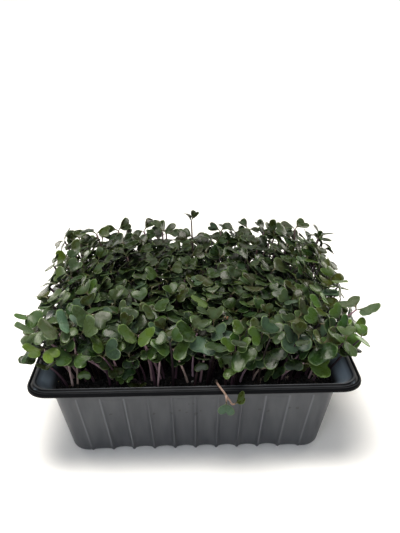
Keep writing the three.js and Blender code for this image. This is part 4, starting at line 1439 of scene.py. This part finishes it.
@dataclass
class FineSeedlings:
    """Makes the finer seedlings: round stems, and leaves with lobes, veins and a live hang."""

    stand: Stand
    shape: LeafShape = field(default_factory=LeafShape)
    inner_shape: LeafShape = field(default_factory=lambda: LeafShape(columns=(0.0, 0.5, 0.85, 1.0)))
    stem_sides: int = 7
    stem_rings: int = 10
    foot_half: float = 0.95
    top_half: float = 0.7
    wobble: float = 1.1
    fallen_halves: Span = (0.9, 0.55)
    hairs: int = 11
    hair_halves: Span = (0.2, 0.1)
    hair_tint: str = "#97877a"
    tufts: tuple[Spot, ...] = (
        (-25.1, -44.7, 57.0), (48.4, -56.5, 56.0), (66.2, -55.2, 56.2), (86.0, -53.1, 56.2)
    )
    hull_at: Spot = (20.4, -52.0, 100.7)
    hull_tint: str = "#6f5138"
    # painted shade: leaves grow darker and warmer towards the back over this span
    back_shade_span: Span = (-40.0, 50.0)
    back_shade_share: float = 0.32
    back_shade_warmth: Spot = (0.12, 0.0, -0.35)
    # painted shade: leaves deeper under the canopy are darkened down to this share
    depth_shade_span: Span = (1.0, 15.0)
    depth_shade_share: float = 0.2
    open_light_span: Span = (30.0, 55.0)  # painted light: the back's low leaves stand in the open and are brightened, not darkened
    open_light_share: float = 1.6
    # painted light: leaves towards the left and right edges are brightened up to this share
    side_light_span: Span = (70.0, 98.0)
    side_share: float = 2.3
    top_tones: tuple[float, ...] = (0.26, 0.1, 0.24, 0.2, 0.15, 0.05)  # a share for each Tone
    low_tones: tuple[float, ...] = (0.08, 0.04, 0.26, 0.34, 0.18, 0.1)
    low_depth: float = 12.0
    brightness: Span = (0.64, 1.44)
    hue: Span = (0.94, 1.06)
    lobe_longer: float = 0.06
    stretch: Span = (0.95, 1.04)
    lopsided: float = 0.08
    widen: Span = (0.88, 1.05)
    cup_wander: float = 0.004
    arch_wander: float = 0.003
    fold: Span = (0.03, 0.07)
    groove: float = 0.3
    ripple: Span = (0.15, 0.6)
    ripple_pace: Span = (0.5, 0.9)
    twist: float = 0.02
    fold_softness: float = 0.8
    fold_offset: float = 0.9
    groove_half: float = 0.9
    groove_start: float = 3.0
    groove_run: float = 4.0
    stalk_end: float = 3.4
    stalk_blend: float = 1.6
    tip_round: float = 0.7
    sway: float = 0.5
    thickness: Span = (0.85, 1.1)
    bent_share: float = 0.9
    hair_reach: Span = (1.6, 4.4)
    hair_swerve: float = 0.6
    hair_rise: Span = (0.3, 2.0)
    hull_spot: Span = (9.0, 0.0)
    hull_half: float = 1.15
    hull_lift: float = 1.1
    hull_length: float = 1.3
    hull_sides: tuple[Span, ...] = ((-0.9, 0.5), (0.9, -0.3))
    stalk_tint: str = "#5d5240"
    fallen_tints: tuple[str, str] = ("#a08c82", "#6f5746")
    seed: int = 977

    def __post_init__(self) -> None:
        """Starts the source of the small differences between seedlings."""
        self.random = np.random.default_rng(self.seed)

    def leaf_tone(self, seedling: Seedling) -> Array:
        """The colour of one leaf: its tone, with painted shade and painted light from its place in the
        canopy.

        Args:
            seedling: the leaf's seedling.

        Returns:
            A linear colour.
        """
        tone = seedling.tone
        if tone is None:
            weights = self.low_tones if seedling.depth > self.low_depth else self.top_tones
            tone = list(Tone)[self.random.choice(len(Tone), p=weights)]
        base = tint_of(tone.value)
        # painted shade and painted light by place: darker and warmer towards the back, brighter towards the
        # left and right edges, darker deeper under the canopy, and brighter low at the open back
        base *= 1 + np.interp(seedling.joint[1], self.back_shade_span, (0.0, 1.0)) * np.array(self.back_shade_warmth)
        painted_light = np.interp(seedling.joint[1], self.back_shade_span, (1.0, self.back_shade_share))
        painted_light *= np.interp(abs(seedling.joint[0]), self.side_light_span, (1.0, self.side_share))
        deep_shade_share = np.interp(seedling.root[1], self.open_light_span, (self.depth_shade_share, self.open_light_share))
        painted_light *= np.interp(seedling.depth, self.depth_shade_span, (1.0, deep_shade_share))
        return base * painted_light * self.random.uniform(*self.brightness) * self.random.uniform(*self.hue, 3)

    def leaf(self, draft: MeshDraft, seedling: Seedling, leaf: Leaf, fork: Array) -> None:
        """Adds one leaf with its stalk.

        Args:
            draft: the piece's draft.
            seedling: the leaf's seedling.
            leaf: how it stands.
            fork: where the two leaves' stalks part.
        """
        inner = seedling.stem_tone is StemTone.PAINTED_SHADE
        shape, random = self.inner_shape if inner else self.shape, self.random
        ahead, _, face = leaf.axes()
        side, share = np.sign(shape.across), np.abs(shape.place[..., 1])
        deep = random.uniform(*shape.notch_reach)
        longer = random.uniform(-self.lobe_longer, self.lobe_longer)
        lobes = 1 + shape.end * (deep * (1 - share) + longer * side * share)
        along = shape.along * lobes * random.uniform(*self.stretch) * leaf.size
        uneven = (1 + random.uniform(-self.lopsided, self.lopsided) * side) * random.uniform(*self.widen)
        across = shape.across * uneven * leaf.size
        cup = leaf.cup + random.normal(0, self.cup_wander)
        arch = leaf.arch + random.normal(0, self.arch_wander)
        lift = cup * across**2 - arch * along**2
        lift += random.normal(*self.fold) * (np.sqrt(across**2 + self.fold_softness) - self.fold_offset)
        deepened = np.clip((along - self.groove_start) / self.groove_run, 0, 1)
        lift -= self.groove * np.exp(-((across / self.groove_half) ** 2)) * deepened
        outer = np.clip(np.abs(across) / 7 + np.clip(along - 10, 0, 4) / 6, 0, 1.2) ** 2
        phase, pace = random.uniform(0, 2 * math.pi), random.uniform(*self.ripple_pace)
        lift += random.uniform(*self.ripple) * outer * np.sin(pace * along + 0.5 * across + phase)
        lift += random.uniform(-self.twist, self.twist) * along * across * 0.5
        middle = leaf.spread(seedling.joint, along + self.stand.head_half, across, lift)
        start = seedling.joint + self.stand.head_half * ahead
        fall = np.clip(1 - along / shape.stalk_run, 0, 1) ** 2
        middle = middle + fall[..., None] * (fork - start)
        up = middle + shape.half[..., None] * face
        down = middle - shape.half[..., None] * face
        up[shape.rim] = middle[shape.rim]
        points = np.vstack([up.reshape(-1, 3), down[shape.inner]])
        ends = [np.full_like(shape.place[..., :1], face_up) for face_up in (1, 0)]
        upper, lower = (np.concatenate([shape.place, end], axis=-1) for end in ends)
        place = np.vstack([upper.reshape(-1, 3), lower[shape.inner]])
        stalk = np.clip((self.stalk_end - shape.along) / self.stalk_blend, 0, 1)[..., None]
        tint = self.leaf_tone(seedling) * (1 - stalk) + tint_of(self.stalk_tint) * stalk
        tints = np.vstack([tint.reshape(-1, 3), tint[shape.inner]])
        draft.add(points, [shape.faces], Finish.LEAF, place, tints)

    def tube(self, draft: MeshDraft, path: Array, halves: Array, tint: Array) -> None:
        """Adds a closed round stalk along a path.

        Args:
            draft: the piece's draft.
            path: its middle line.
            halves: its half width at each point of the path.
            tint: its colour, or one for each point of the path.
        """
        ahead = np.gradient(path, axis=0)
        ahead /= np.linalg.norm(ahead, axis=1)[:, None]
        side = np.array([0.8, 0.6, 0.0])
        rings, sides = [], self.stem_sides
        tint = np.broadcast_to(tint, (len(path), 3))
        turns = np.arange(sides) / sides * 2 * math.pi
        for point, way, half in zip(path, ahead, halves):
            side = side - way * np.dot(side, way)
            side = side / np.linalg.norm(side)
            other = np.cross(way, side)
            ring = np.cos(turns)[:, None] * side + np.sin(turns)[:, None] * other
            rings.append(point + ring * half)
        tip = path[-1] + ahead[-1] * halves[-1] * self.tip_round
        points = np.vstack([*rings, path[:1], tip[None]])
        tints = np.vstack([np.repeat(tint, sides, axis=0), tint[:1], tint[-1:]])
        draft.add(points, closed_faces(len(path), sides), Finish.STEM, tint=tints)

    def stem_tint(self, tone: StemTone, shares: Array) -> Array:
        """A stem's colour from its foot to its fork."""
        random = self.random
        pale, dark = (tint_of(random.choice(codes)) for codes in tone.value)
        start, end = random.uniform(0.0, 0.5), random.uniform(0.5, 1.0)
        blend = start + (end - start) * shares[:, None]
        if random.random() < 0.5:
            blend = 1 - blend
        return dark * (1 - blend) + pale * blend

    def fallen(self, draft: MeshDraft) -> None:
        """Adds the seedling that has fallen over the rim: two bent stalks, a leaf on each.

        Args:
            draft: the piece's draft.
        """
        stand = self.stand
        steps = np.linspace(0, 1, 22)
        tones = (Tone.OLIVE, Tone.BLUE)
        for path, facts, tone in zip(stand.fallen_paths, stand.fallen_leaves, tones):
            points = smooth_path(np.array(path, dtype=float), steps)
            leaf = Leaf.in_degrees(*facts)
            halves = mix(self.fallen_halves[0], self.fallen_halves[1], steps)
            ends = [tint_of(code) for code in self.fallen_tints]
            tint = mix(ends[0][None], ends[1][None], steps[:, None])
            self.tube(draft, points, halves, tint)
            held = Seedling(points[0], points[-1], [leaf], tone=tone)
            self.leaf(draft, held, leaf, points[-1])

    def root_tuft(self, draft: MeshDraft, foot: Sequence[float]) -> None:
        """Adds a tuft of pale root hairs that has come up out of the compost.

        Args:
            draft: the piece's draft.
            foot: the tuft's middle.
        """
        steps = np.linspace(0, 1, 7)
        tone = tint_of(self.hair_tint)
        for _ in range(self.hairs):
            turn, reach = self.random.uniform(0, 2 * math.pi), self.random.uniform(*self.hair_reach)
            swerve = self.random.uniform(-self.hair_swerve, self.hair_swerve)
            rise = self.random.uniform(*self.hair_rise)
            path = []
            for share, lift in ((0, 0.1), (0.35, rise), (0.7, rise * 0.7), (1, -0.7)):
                way = turn + swerve * share
                path.append((share * reach * math.cos(way), share * reach * math.sin(way), lift))
            points = smooth_path(np.array(path) + np.array(foot), steps)
            self.tube(draft, points, mix(*self.hair_halves, steps), tone)

    def hull(self, draft: MeshDraft, sites: list[Clump]) -> None:
        """Adds the split brown seed hull that still hangs on one leaf near the front.

        Args:
            draft: the piece's draft.
            sites: the clumps.
        """
        spot = np.array([self.hull_spot])
        held = [
            (self.stand.leaf_points(seedling.joint, leaf, spot)[0], leaf)
            for site in sites for seedling in site.seedlings for leaf in seedling.leaves
        ]
        place, leaf = min(held, key=lambda pair: float(np.linalg.norm(pair[0] - self.hull_at)))
        along, across, face = leaf.axes()
        steps = np.linspace(-1, 1, 9)
        halves = self.hull_half * np.sqrt(1.04 - steps**2)
        tone = tint_of(self.hull_tint)
        for side, tip in self.hull_sides:
            way = across + along * tip
            path = place + face * self.hull_lift + along * side + steps[:, None] * way * self.hull_length
            self.tube(draft, path, halves, tone)

    def bent(self, draft: MeshDraft, facts: Bent) -> None:
        """Adds a seedling with a bent stem.

        Args:
            draft: the piece's draft.
            facts: its stem's path and its leaves.
        """
        steps = np.linspace(0, 1, 14)
        points = smooth_path(np.array(facts.path), steps)
        halves = mix(self.foot_half, self.top_half, steps) * self.bent_share
        self.tube(draft, points, halves, self.stem_tint(StemTone.PINK, steps))
        for turns in facts.leaves:
            leaf = Leaf.in_degrees(*turns)
            held = Seedling(points[0], points[-1], [leaf], tone=facts.tone)
            self.leaf(draft, held, leaf, points[-1])

    def seedling(self, draft: MeshDraft, seedling: Seedling) -> None:
        """Adds one whole seedling.

        Args:
            draft: the piece's draft.
            seedling: where and how it stands.
        """
        height = float(np.linalg.norm(seedling.joint - seedling.root))
        top = 1 - self.shape.fork_drop / height
        shares = np.linspace(0, top, self.stem_rings)
        path = self.stand.stem_points(seedling, shares)
        sway = self.random.normal(0, self.sway, 2) * self.wobble
        path[:, :2] += np.sin(np.pi * shares / top)[:, None] * sway
        thick = self.random.uniform(*self.thickness)
        halves = mix(self.foot_half, self.top_half, shares / top) * thick
        # stems under the canopy take the purple darkened by painted shade, except at the open back, where
        # they take the plain purple
        shade_painted = seedling.stem_tone is StemTone.PAINTED_SHADE
        in_open = shade_painted and seedling.root[1] > self.open_light_span[0]
        tint = self.stem_tint(StemTone.PURPLE if in_open else seedling.stem_tone, shares / top)
        self.tube(draft, path, halves, tint)
        for leaf in seedling.leaves:
            self.leaf(draft, seedling, leaf, path[-1])


class RoomGrid:
    """Small cells of the space over the tray, each free or taken by a seedling."""

    def __init__(self, low: Sequence[float], high: Sequence[float], cell: float, reach: float) -> None:
        """Starts with every cell free.

        Args:
            low: the space's lowest corner.
            high: its highest corner.
            cell: a cell's side.
            reach: how far from a seedling's points its cells are taken.
        """
        self.low, self.cell = np.array(low, dtype=float), cell
        size = np.ceil((np.array(high) - self.low) / cell).astype(int) + 1
        self.taken = np.zeros(size, dtype=bool)
        steps = np.arange(-int(reach / cell) - 1, int(reach / cell) + 2)
        ball = np.stack(np.meshgrid(steps, steps, steps), axis=-1).reshape(-1, 3)
        self.ball = ball[np.linalg.norm(ball, axis=1) * cell <= reach]

    def cells(self, points: Array) -> Array:
        """The cell of each point."""
        spots = np.floor((points - self.low) / self.cell).astype(int)
        return np.clip(spots, 0, np.array(self.taken.shape) - 1)

    def take(self, points: Array) -> None:
        """Takes the cells round some points."""
        around = self.cells(points)[:, None, :] + self.ball[None, :, :]
        around = np.clip(around.reshape(-1, 3), 0, np.array(self.taken.shape) - 1)
        self.taken[tuple(around.T)] = True

    def is_free(self, points: Array) -> bool:
        """Whether every point's cell is free."""
        return not self.taken[tuple(self.cells(points).T)].any()


@dataclass
class Undergrowth:
    """The rest of the stand: seedlings sown between the solids' own, closer and lower too."""

    stand: Stand
    wanted: int = 860
    tries: int = 42000
    root_half: Span = (94.0, 64.0)
    lean_wander: float = 8.0
    drops: tuple[Spot, ...] = ((0.7, -3.0, 9.0), (0.3, 9.0, 22.0))
    edge_drops: tuple[Spot, ...] = ((0.35, -3.0, 8.0), (0.3, 8.0, 20.0), (0.35, 20.0, 46.0))
    edge_width: float = 20.0
    front_drops: tuple[Spot, ...] = ((0.5, -3.0, 8.0), (0.5, 8.0, 28.0))
    front_bare: float = -42.0
    front_bare_share: float = 0.7
    sizes: Span = (0.68, 0.95)
    uneven: Span = (0.88, 1.1)
    rises: Span = (-0.05, 0.45)
    wander: float = 0.3
    roll_wander: float = 0.5
    lowest_joint: float = 66.0
    lean_fade: Spot = (10.0, 50.0, 0.6)
    size_fade: Spot = (12.0, 80.0, 0.4)
    root_share: float = 0.88
    root_wander: float = 4.0
    space: tuple[tuple[float, ...], tuple[float, ...]] = ((-140.0, -105.0, 50.0), (140.0, 105.0, 152.0))
    cell: float = 0.8
    low_row: tuple[Placed, ...] = (
        Placed((-77.2, -61, 72.2), ((-84, -50, 0, 0.62),), Tone.YOUNG),
        Placed((-48.8, -64, 67), ((-149, -34, -20, 0.46), (-35, -23, 20, 0.45)), Tone.YOUNG),
        Placed((-39.6, -66, 59.9), ((-132, 6, -10, 0.5), (-44, 6, 10, 0.4)), Tone.OLIVE),
        Placed((-56.5, -62, 74.8), ((-142, 34, -40, 0.8), (-65, -27, 10, 0.7)), Tone.OLIVE),
        Placed((-43.5, -60, 82), ((-90, -36, 10, 0.8),), Tone.DEEP),
        Placed((-51.6, -58, 69.1), ((-48, -14, 30, 0.75), (-119, -1, -20, 0.7)), Tone.DEEP),
        Placed((3.9, -66, 79.7), ((-76, -50, 15, 0.62),), Tone.SAGE),
        Placed((22.5, -72, 82), ((-159, 54, -45, 0.45), (-60, -25, 25, 0.65)), Tone.YOUNG),
        Placed((34.9, -66, 80.5), ((-63, -14, 30, 0.6),), Tone.SAGE),
        Placed((69, -64, 80.2), ((-97, -37, 0, 0.85), (-134, 18, -40, 0.6)), Tone.DEEP),
        Placed((75.3, -60, 77), ((-75, -34, 70, 0.7),), Tone.OLIVE),
        Placed((-87.6, -60, 79.9), ((-137, 47, -40, 0.7), (-37, 0, 20, 0.8)), Tone.SAGE),
        Placed((-101.8, -66, 78.2), ((-105, 14, -20, 0.6), (-56, 15, 20, 0.6)), Tone.OLIVE),
        Placed((-11.3, -58, 77.8), ((-130, -6, -20, 0.7), (-50, -2, 20, 0.7)), Tone.DEEP),
        Placed((-27.2, -60, 82.5), ((-117, 7, -20, 0.8), (-63, 1, 20, 0.8)), Tone.GREEN),
        Placed((-32.7, -68, 90.2), ((-41, 3, 30, 0.85), (-68, -25, 10, 0.7)), Tone.GREEN),
        Placed((57, -62, 70.5), ((-82, -16, 50, 0.7),), Tone.DEEP),
        Placed((45.3, -58, 82.1), ((-102, -17, 0, 0.95),), Tone.DEEP),
        Placed((90.6, -62, 83.3), ((-85, 0, 20, 0.8),), Tone.DEEP),
        Placed((-66.9, -62, 84.5), ((-102, -10, -15, 0.7), (-83, 4, 30, 0.5)), Tone.SAGE)
    )
    low_row_wander: float = 5.0
    low_row_tries: int = 80
    bent_row: tuple[Bent, ...] = (
        Bent(
            (
                (41.4, -57, 55.6), (42.6, -59.5, 61.7), (44.5, -62, 66.8), (47.3, -64.5, 70.2),
                (50.5, -67, 73.3)
            ),
            ((-86, -14, 60, 0.75), (85, 23, -50, 0.7)), Tone.GREEN
        ),
        Bent(
            ((61.3, -58, 57), (62.6, -60, 62.3), (65.4, -62, 66.2), (70.3, -64.5, 70.9), (75.6, -67, 75.3)),
            ((-12, 2, 35, 1.31),), Tone.YOUNG
        )
    )
    front_low: Spot = (-45.0, 66.0, 0.55)
    side_low: Span = (93.0, 75.0)
    reach: Spot = (121.0, 84.0, 92.0)
    stem_samples: int = 30
    room: float = 1.0
    spots: tuple[Span, ...] = (
        (2.0, 0.0), (4.0, 0.0), (4.8, 2.4), (6.2, 0.0), (6.4, 4.8), (7.6, 2.4), (8.4, 7.0), (9.0, 0.0),
        (9.0, 4.7), (10.2, 2.3), (10.8, 7.2), (11.2, 4.8), (12.6, 5.2), (12.2, 2.9)
    )
    seed: int = 5531

    def __post_init__(self) -> None:
        """Works out the places on a leaf that are tested for room."""
        mirrored = [(u, -v) for u, v in self.spots if v]
        self.leaf_spots = np.array([*self.spots, *mirrored], dtype=float)
        self.shares = np.linspace(0.06, 1, self.stem_samples)

    def samples(self, seedling: Seedling) -> Array:
        """Points that stand for a seedling, first its stem's."""
        return self.stand.points_of(seedling, self.shares, self.leaf_spots)

    def is_in_bounds(self, leaves: Array) -> bool:
        """Whether a seedling's leaf points stay off the open ground in front and near the tray."""
        x, y, z = np.abs(leaves[:, 0]), leaves[:, 1], leaves[:, 2]
        start, low, climb = self.front_low
        side, side_low = self.side_low
        wide, front, back = self.reach
        in_front = (y < start) & (z < low + climb * (start - y))
        beside = (x > side) & (z < side_low)
        return not (in_front | beside | (x > wide) | (y < -front) | (y > back)).any()

    def left_of(self, drop: float, start: float, span: float, most: float) -> float:
        """The share that is left at a drop: less from a start on, over a span, by so much at most."""
        return 1 - min(max(drop - start, 0) / span, most)

    def draw(self, random: np.random.Generator) -> Seedling:
        """Draws one seedling."""
        stand = self.stand
        half_x, half_y = self.root_half
        x, y = random.uniform(-half_x, half_x), random.uniform(-half_y, half_y)
        if y < self.front_bare and random.random() < self.front_bare_share:
            y = random.uniform(self.front_bare, half_y)
        in_front = y < self.front_bare
        at_edge = y > half_y - self.edge_width or abs(x) > half_x - self.edge_width
        drops = self.front_drops if in_front else self.edge_drops if at_edge else self.drops
        choice = random.random()
        for share, low, high in drops:
            choice -= share
            if choice <= 0:
                break
        drop = random.uniform(low, high) * (1.0 if in_front else stand.drop_share(y))
        fade = self.left_of(drop, *self.lean_fade)
        wander = random.uniform(-self.lean_wander, self.lean_wander, 2)
        tip = (x * stand.lean_out[0] * fade + wander[0], y * stand.lean_out[1] * fade + wander[1])
        height = max(stand.canopy_height(x + tip[0], y + tip[1]) - drop, self.lowest_joint)
        turn = random.uniform(0, math.pi)
        size = random.uniform(*self.sizes) * self.left_of(drop, *self.size_fade)
        rise = random.uniform(*self.rises)
        pair = []
        for half in (0.0, math.pi):
            azimuth = turn + half + random.uniform(-self.wander, self.wander)
            ahead, aside = stand.tilts(tip, azimuth)
            lift = rise - ahead + random.uniform(-self.wander, self.wander)
            turns = (azimuth, lift, aside + random.uniform(-self.roll_wander, self.roll_wander))
            bend = (random.uniform(*stand.cup), random.uniform(*stand.arch))
            pair.append(Leaf(*turns, size * random.uniform(*self.uneven), *bend))
        root = np.array([x, y, stand.root_height(x, y)])
        joint = np.array([x + tip[0], y + tip[1], height])
        # its stem takes the purple darkened by painted shade, as the stems under the canopy do
        return Seedling(root, joint, pair, depth=drop, stem_tone=StemTone.PAINTED_SHADE)

    def draw_placed(self, random: np.random.Generator, placed: Placed, stray: float) -> Seedling:
        """Draws a placed seedling, strayed some way from its place."""
        joint = np.array(placed.at) + random.uniform(-stray, stray, 3)
        stray = [random.uniform(-self.root_wander, self.root_wander) for _ in range(2)]
        x, y = np.clip(joint[:2] * self.root_share + stray, -np.array(self.root_half), self.root_half)
        pair = [Leaf.in_degrees(*facts) for facts in placed.leaves]
        root = np.array([x, y, self.stand.root_height(x, y)])
        return Seedling(root, joint, pair, tone=placed.tone, stem_tone=StemTone.PURPLE)

    def sow(self, sites: list[Clump]) -> int:
        """Adds seedlings to the clumps that they stand nearest to.

        Args:
            sites: the clumps, with the solids' own seedlings.

        Returns:
            How many were sown.
        """
        grid = RoomGrid(*self.space, self.cell, self.room)
        for site in sites:
            for seedling in site.seedlings:
                grid.take(self.samples(seedling))
        random = np.random.default_rng(self.seed)
        sown = self.sow_placed(random, grid, sites)
        LOG.info("placed seedlings: %d", sown)
        for _ in range(self.tries):
            if sown >= self.wanted:
                break
            seedling = self.draw(random)
            if not grid.is_free(seedling.joint[None]):
                continue
            points = self.samples(seedling)
            if self.is_in_bounds(points[self.stem_samples :]):
                sown += self.settle(grid, sites, seedling, points, self.stem_samples)
        return sown

    def settle(
        self, grid: RoomGrid, sites: list[Clump], seedling: Seedling, points: Array, stems: int
    ) -> bool:
        """Adds a seedling to the clump that it stands nearest to, if there is room for it.

        Args:
            grid: the room that is taken.
            sites: the clumps.
            seedling: the seedling.
            points: the points that stand for it.
            stems: how many of them may touch the ground.

        Returns:
            Whether there was room.
        """
        rooms = np.full(len(points), self.room / 2)
        if not grid.is_free(points) or not self.stand.clear_of_tray(points, rooms, stems):
            return False
        grid.take(points)
        x, y = seedling.root[:2]
        site = min(sites, key=lambda clump: (clump.x - x) ** 2 + (clump.y - y) ** 2)
        site.seedlings.append(seedling)
        return True

    def sow_placed(self, random: np.random.Generator, grid: RoomGrid, sites: list[Clump]) -> int:
        """Adds the placed seedlings that find room, and keeps the bent ones' room free.

        Args:
            random: the source of how far they stray.
            grid: the room that is taken.
            sites: the clumps.

        Returns:
            How many were added.
        """
        steps = np.linspace(0.1, 1, 16)
        for bent in self.bent_row:
            path = smooth_path(np.array(bent.path), steps)
            grid.take(path)
            for turns in bent.leaves:
                grid.take(self.stand.leaf_points(path[-1], Leaf.in_degrees(*turns), self.leaf_spots))
        sown = 0
        for placed in (*self.stand.left_out, *self.low_row):
            for attempt in range(self.low_row_tries):
                stray = self.low_row_wander * attempt / self.low_row_tries
                seedling = self.draw_placed(random, placed, stray)
                points = self.samples(seedling)
                if self.settle(grid, sites, seedling, points, len(points)):
                    sown += 1
                    break
        return sown


# Studio


@dataclass
class Studio:
    """The floor, the lights and the camera of the photograph."""

    focal_px: float = 680.0
    frame_px: float = 533.0
    sensor: float = 36.0
    clip_m: Span = (0.01, 20.0)
    camera_at: Spot = (-1.65, -474.28, 316.17)
    right: Spot = (0.99974, -0.02006, -0.01117)
    down: Spot = (-0.01795, -0.37973, -0.92492)
    ahead: Spot = (0.01432, 0.92488, -0.37999)
    air: str = "#f3f3ef"
    air_strength: float = 0.1
    low_air: float = 0.16  # the pale wall of the studio ends at this sine of the angle up
    high_air: float = 0.34
    low_air_strength: float = 1.0
    contrast_gamma: float = 0.9  # a small camera's firmer tone curve
    exposure: float = 0.12
    aim: Spot = (0.0, 0.0, 0.07)  # where the softboxes look, in metres
    floor_half: float = 40.0
    softboxes: tuple[tuple, ...] = (  # name, place and size in metres, watts, colour
        ("overhead_softbox", (-0.12, -0.12, 1.2), (0.75, 0.6), 19.5, "#fffaf3"),
        ("back_softbox", (0.15, 0.95, 0.95), (0.9, 0.45), 2.5, "#fffaf2"),
        ("left_softbox", (-0.95, 0.9, 0.42), (0.5, 0.5), 4.0, "#fffaf2"),
        ("right_softbox", (0.95, 0.9, 0.42), (0.5, 0.5), 4.0, "#fffaf2"),
        ("front_softbox", (-0.2, -1.1, 0.75), (1.0, 0.7), 7.2, "#f3f7ff"),
    )

    def camera(self) -> None:
        """Makes the camera at the photograph's place and angle."""
        data = bpy.data.cameras.new("photo_camera")
        data.sensor_width = self.sensor
        data.lens = self.focal_px * self.sensor / self.frame_px
        data.clip_start, data.clip_end = self.clip_m
        axes = (np.array(self.right), -np.array(self.down), -np.array(self.ahead))
        made = add_object("photo_camera", data, axes, np.array(self.camera_at) * MM)
        bpy.context.scene.camera = made

    def light(self, name: str, at: Spot, size: Span, watts: float, tone: str) -> None:
        """Adds a softbox that looks at the middle of the stand.

        Args:
            name: its name.
            at: its place in metres.
            size: its width and height in metres.
            watts: its power.
            tone: its colour.
        """
        data = bpy.data.lights.new(name, "AREA")
        data.shape = "RECTANGLE"
        data.size, data.size_y = size
        data.energy = watts
        data.color = linear(tone)[:3]
        back = np.array(at) - self.aim
        back /= np.linalg.norm(back)
        side = np.cross([0.0, 0.0, 1.0], back)
        side /= np.linalg.norm(side)
        add_object(name, data, (side, np.cross(back, side), back), at)

    def build(self) -> None:
        """Makes the floor, lights and camera."""
        scene = bpy.context.scene
        scene.view_settings.view_transform = "Standard"
        scene.view_settings.gamma = self.contrast_gamma
        scene.view_settings.exposure = self.exposure
        mesh = bpy.data.meshes.new("studio_floor")
        far = self.floor_half
        mesh.from_pydata([(-far, -far, 0), (far, -far, 0), (far, far, 0), (-far, far, 0)], [], [(0, 1, 2, 3)])
        mesh.materials.append(PaintedBoard().material())
        add_object("studio_floor", mesh)
        world = bpy.data.worlds.new("studio_air")
        scene.world = world
        world.use_nodes = True
        tree = world.node_tree
        rise = add_node(tree, "SeparateXYZ", {0: add_node(tree, "TexCoord").outputs["Generated"]}).outputs[2]
        span = {"Value": rise, "From Min": self.low_air, "From Max": self.high_air}
        strengths = {"To Min": self.low_air_strength, "To Max": self.air_strength}
        glow = add_node(tree, "MapRange", {**span, **strengths})
        fill_inputs(tree, tree.nodes["Background"], {"Color": linear(self.air), "Strength": glow})
        for facts in self.softboxes:
            self.light(*facts)
        self.camera()


def main() -> None:
    """Builds every piece in order."""
    materials = {
        Finish.TRAY: MouldedPolypropylene().material(), Finish.COMPOST: PottingCompost().material(),
        Finish.GRIT: MineralGrit().material(), Finish.LEAF: WaxyCotyledon().material(),
        Finish.STEM: JuicyStem().material()
    }
    tray = Tray()
    medium = GrowingMedium(tray)
    stand = Stand(tray, medium)

    def place(piece: bpy.types.Object, slot: str, *nodes: str) -> None:
        """Hands a piece to the frame."""
        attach(piece, "root")
        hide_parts(*nodes)

    place(tray.build(materials), "tray", "tray")
    place(medium.build(materials), "growing_medium", "growing_medium")
    sites = stand.sow()
    own = sum(len(site.seedlings) for site in sites)
    undergrowth = Undergrowth(stand)
    more = undergrowth.sow(sites)
    LOG.info("seedlings: %d of the solids' own, %d more", own, more)
    fine = FineSeedlings(stand)
    fallen = MeshDraft("toppled_seedling")
    fine.fallen(fallen)
    place(fallen.build(materials), "seedling", "fallen_seedling")
    for site in sites:
        draft = MeshDraft(site.name.replace("seedling", "seedlings"))
        for seedling in site.seedlings:
            fine.seedling(draft, seedling)
        for facts in undergrowth.bent_row:
            if stand.nearest(sites, *facts.path[0][:2]) is site:
                fine.bent(draft, facts)
        for foot in fine.tufts:
            if stand.nearest(sites, *foot[:2]) is site:
                fine.root_tuft(draft, foot)
        if stand.nearest(sites, *fine.hull_at[:2]) is site:
            fine.hull(draft, sites)
        place(draft.build(materials), "seedling", site.name)
    Studio().build()


if __name__ == "__main__":
    main()
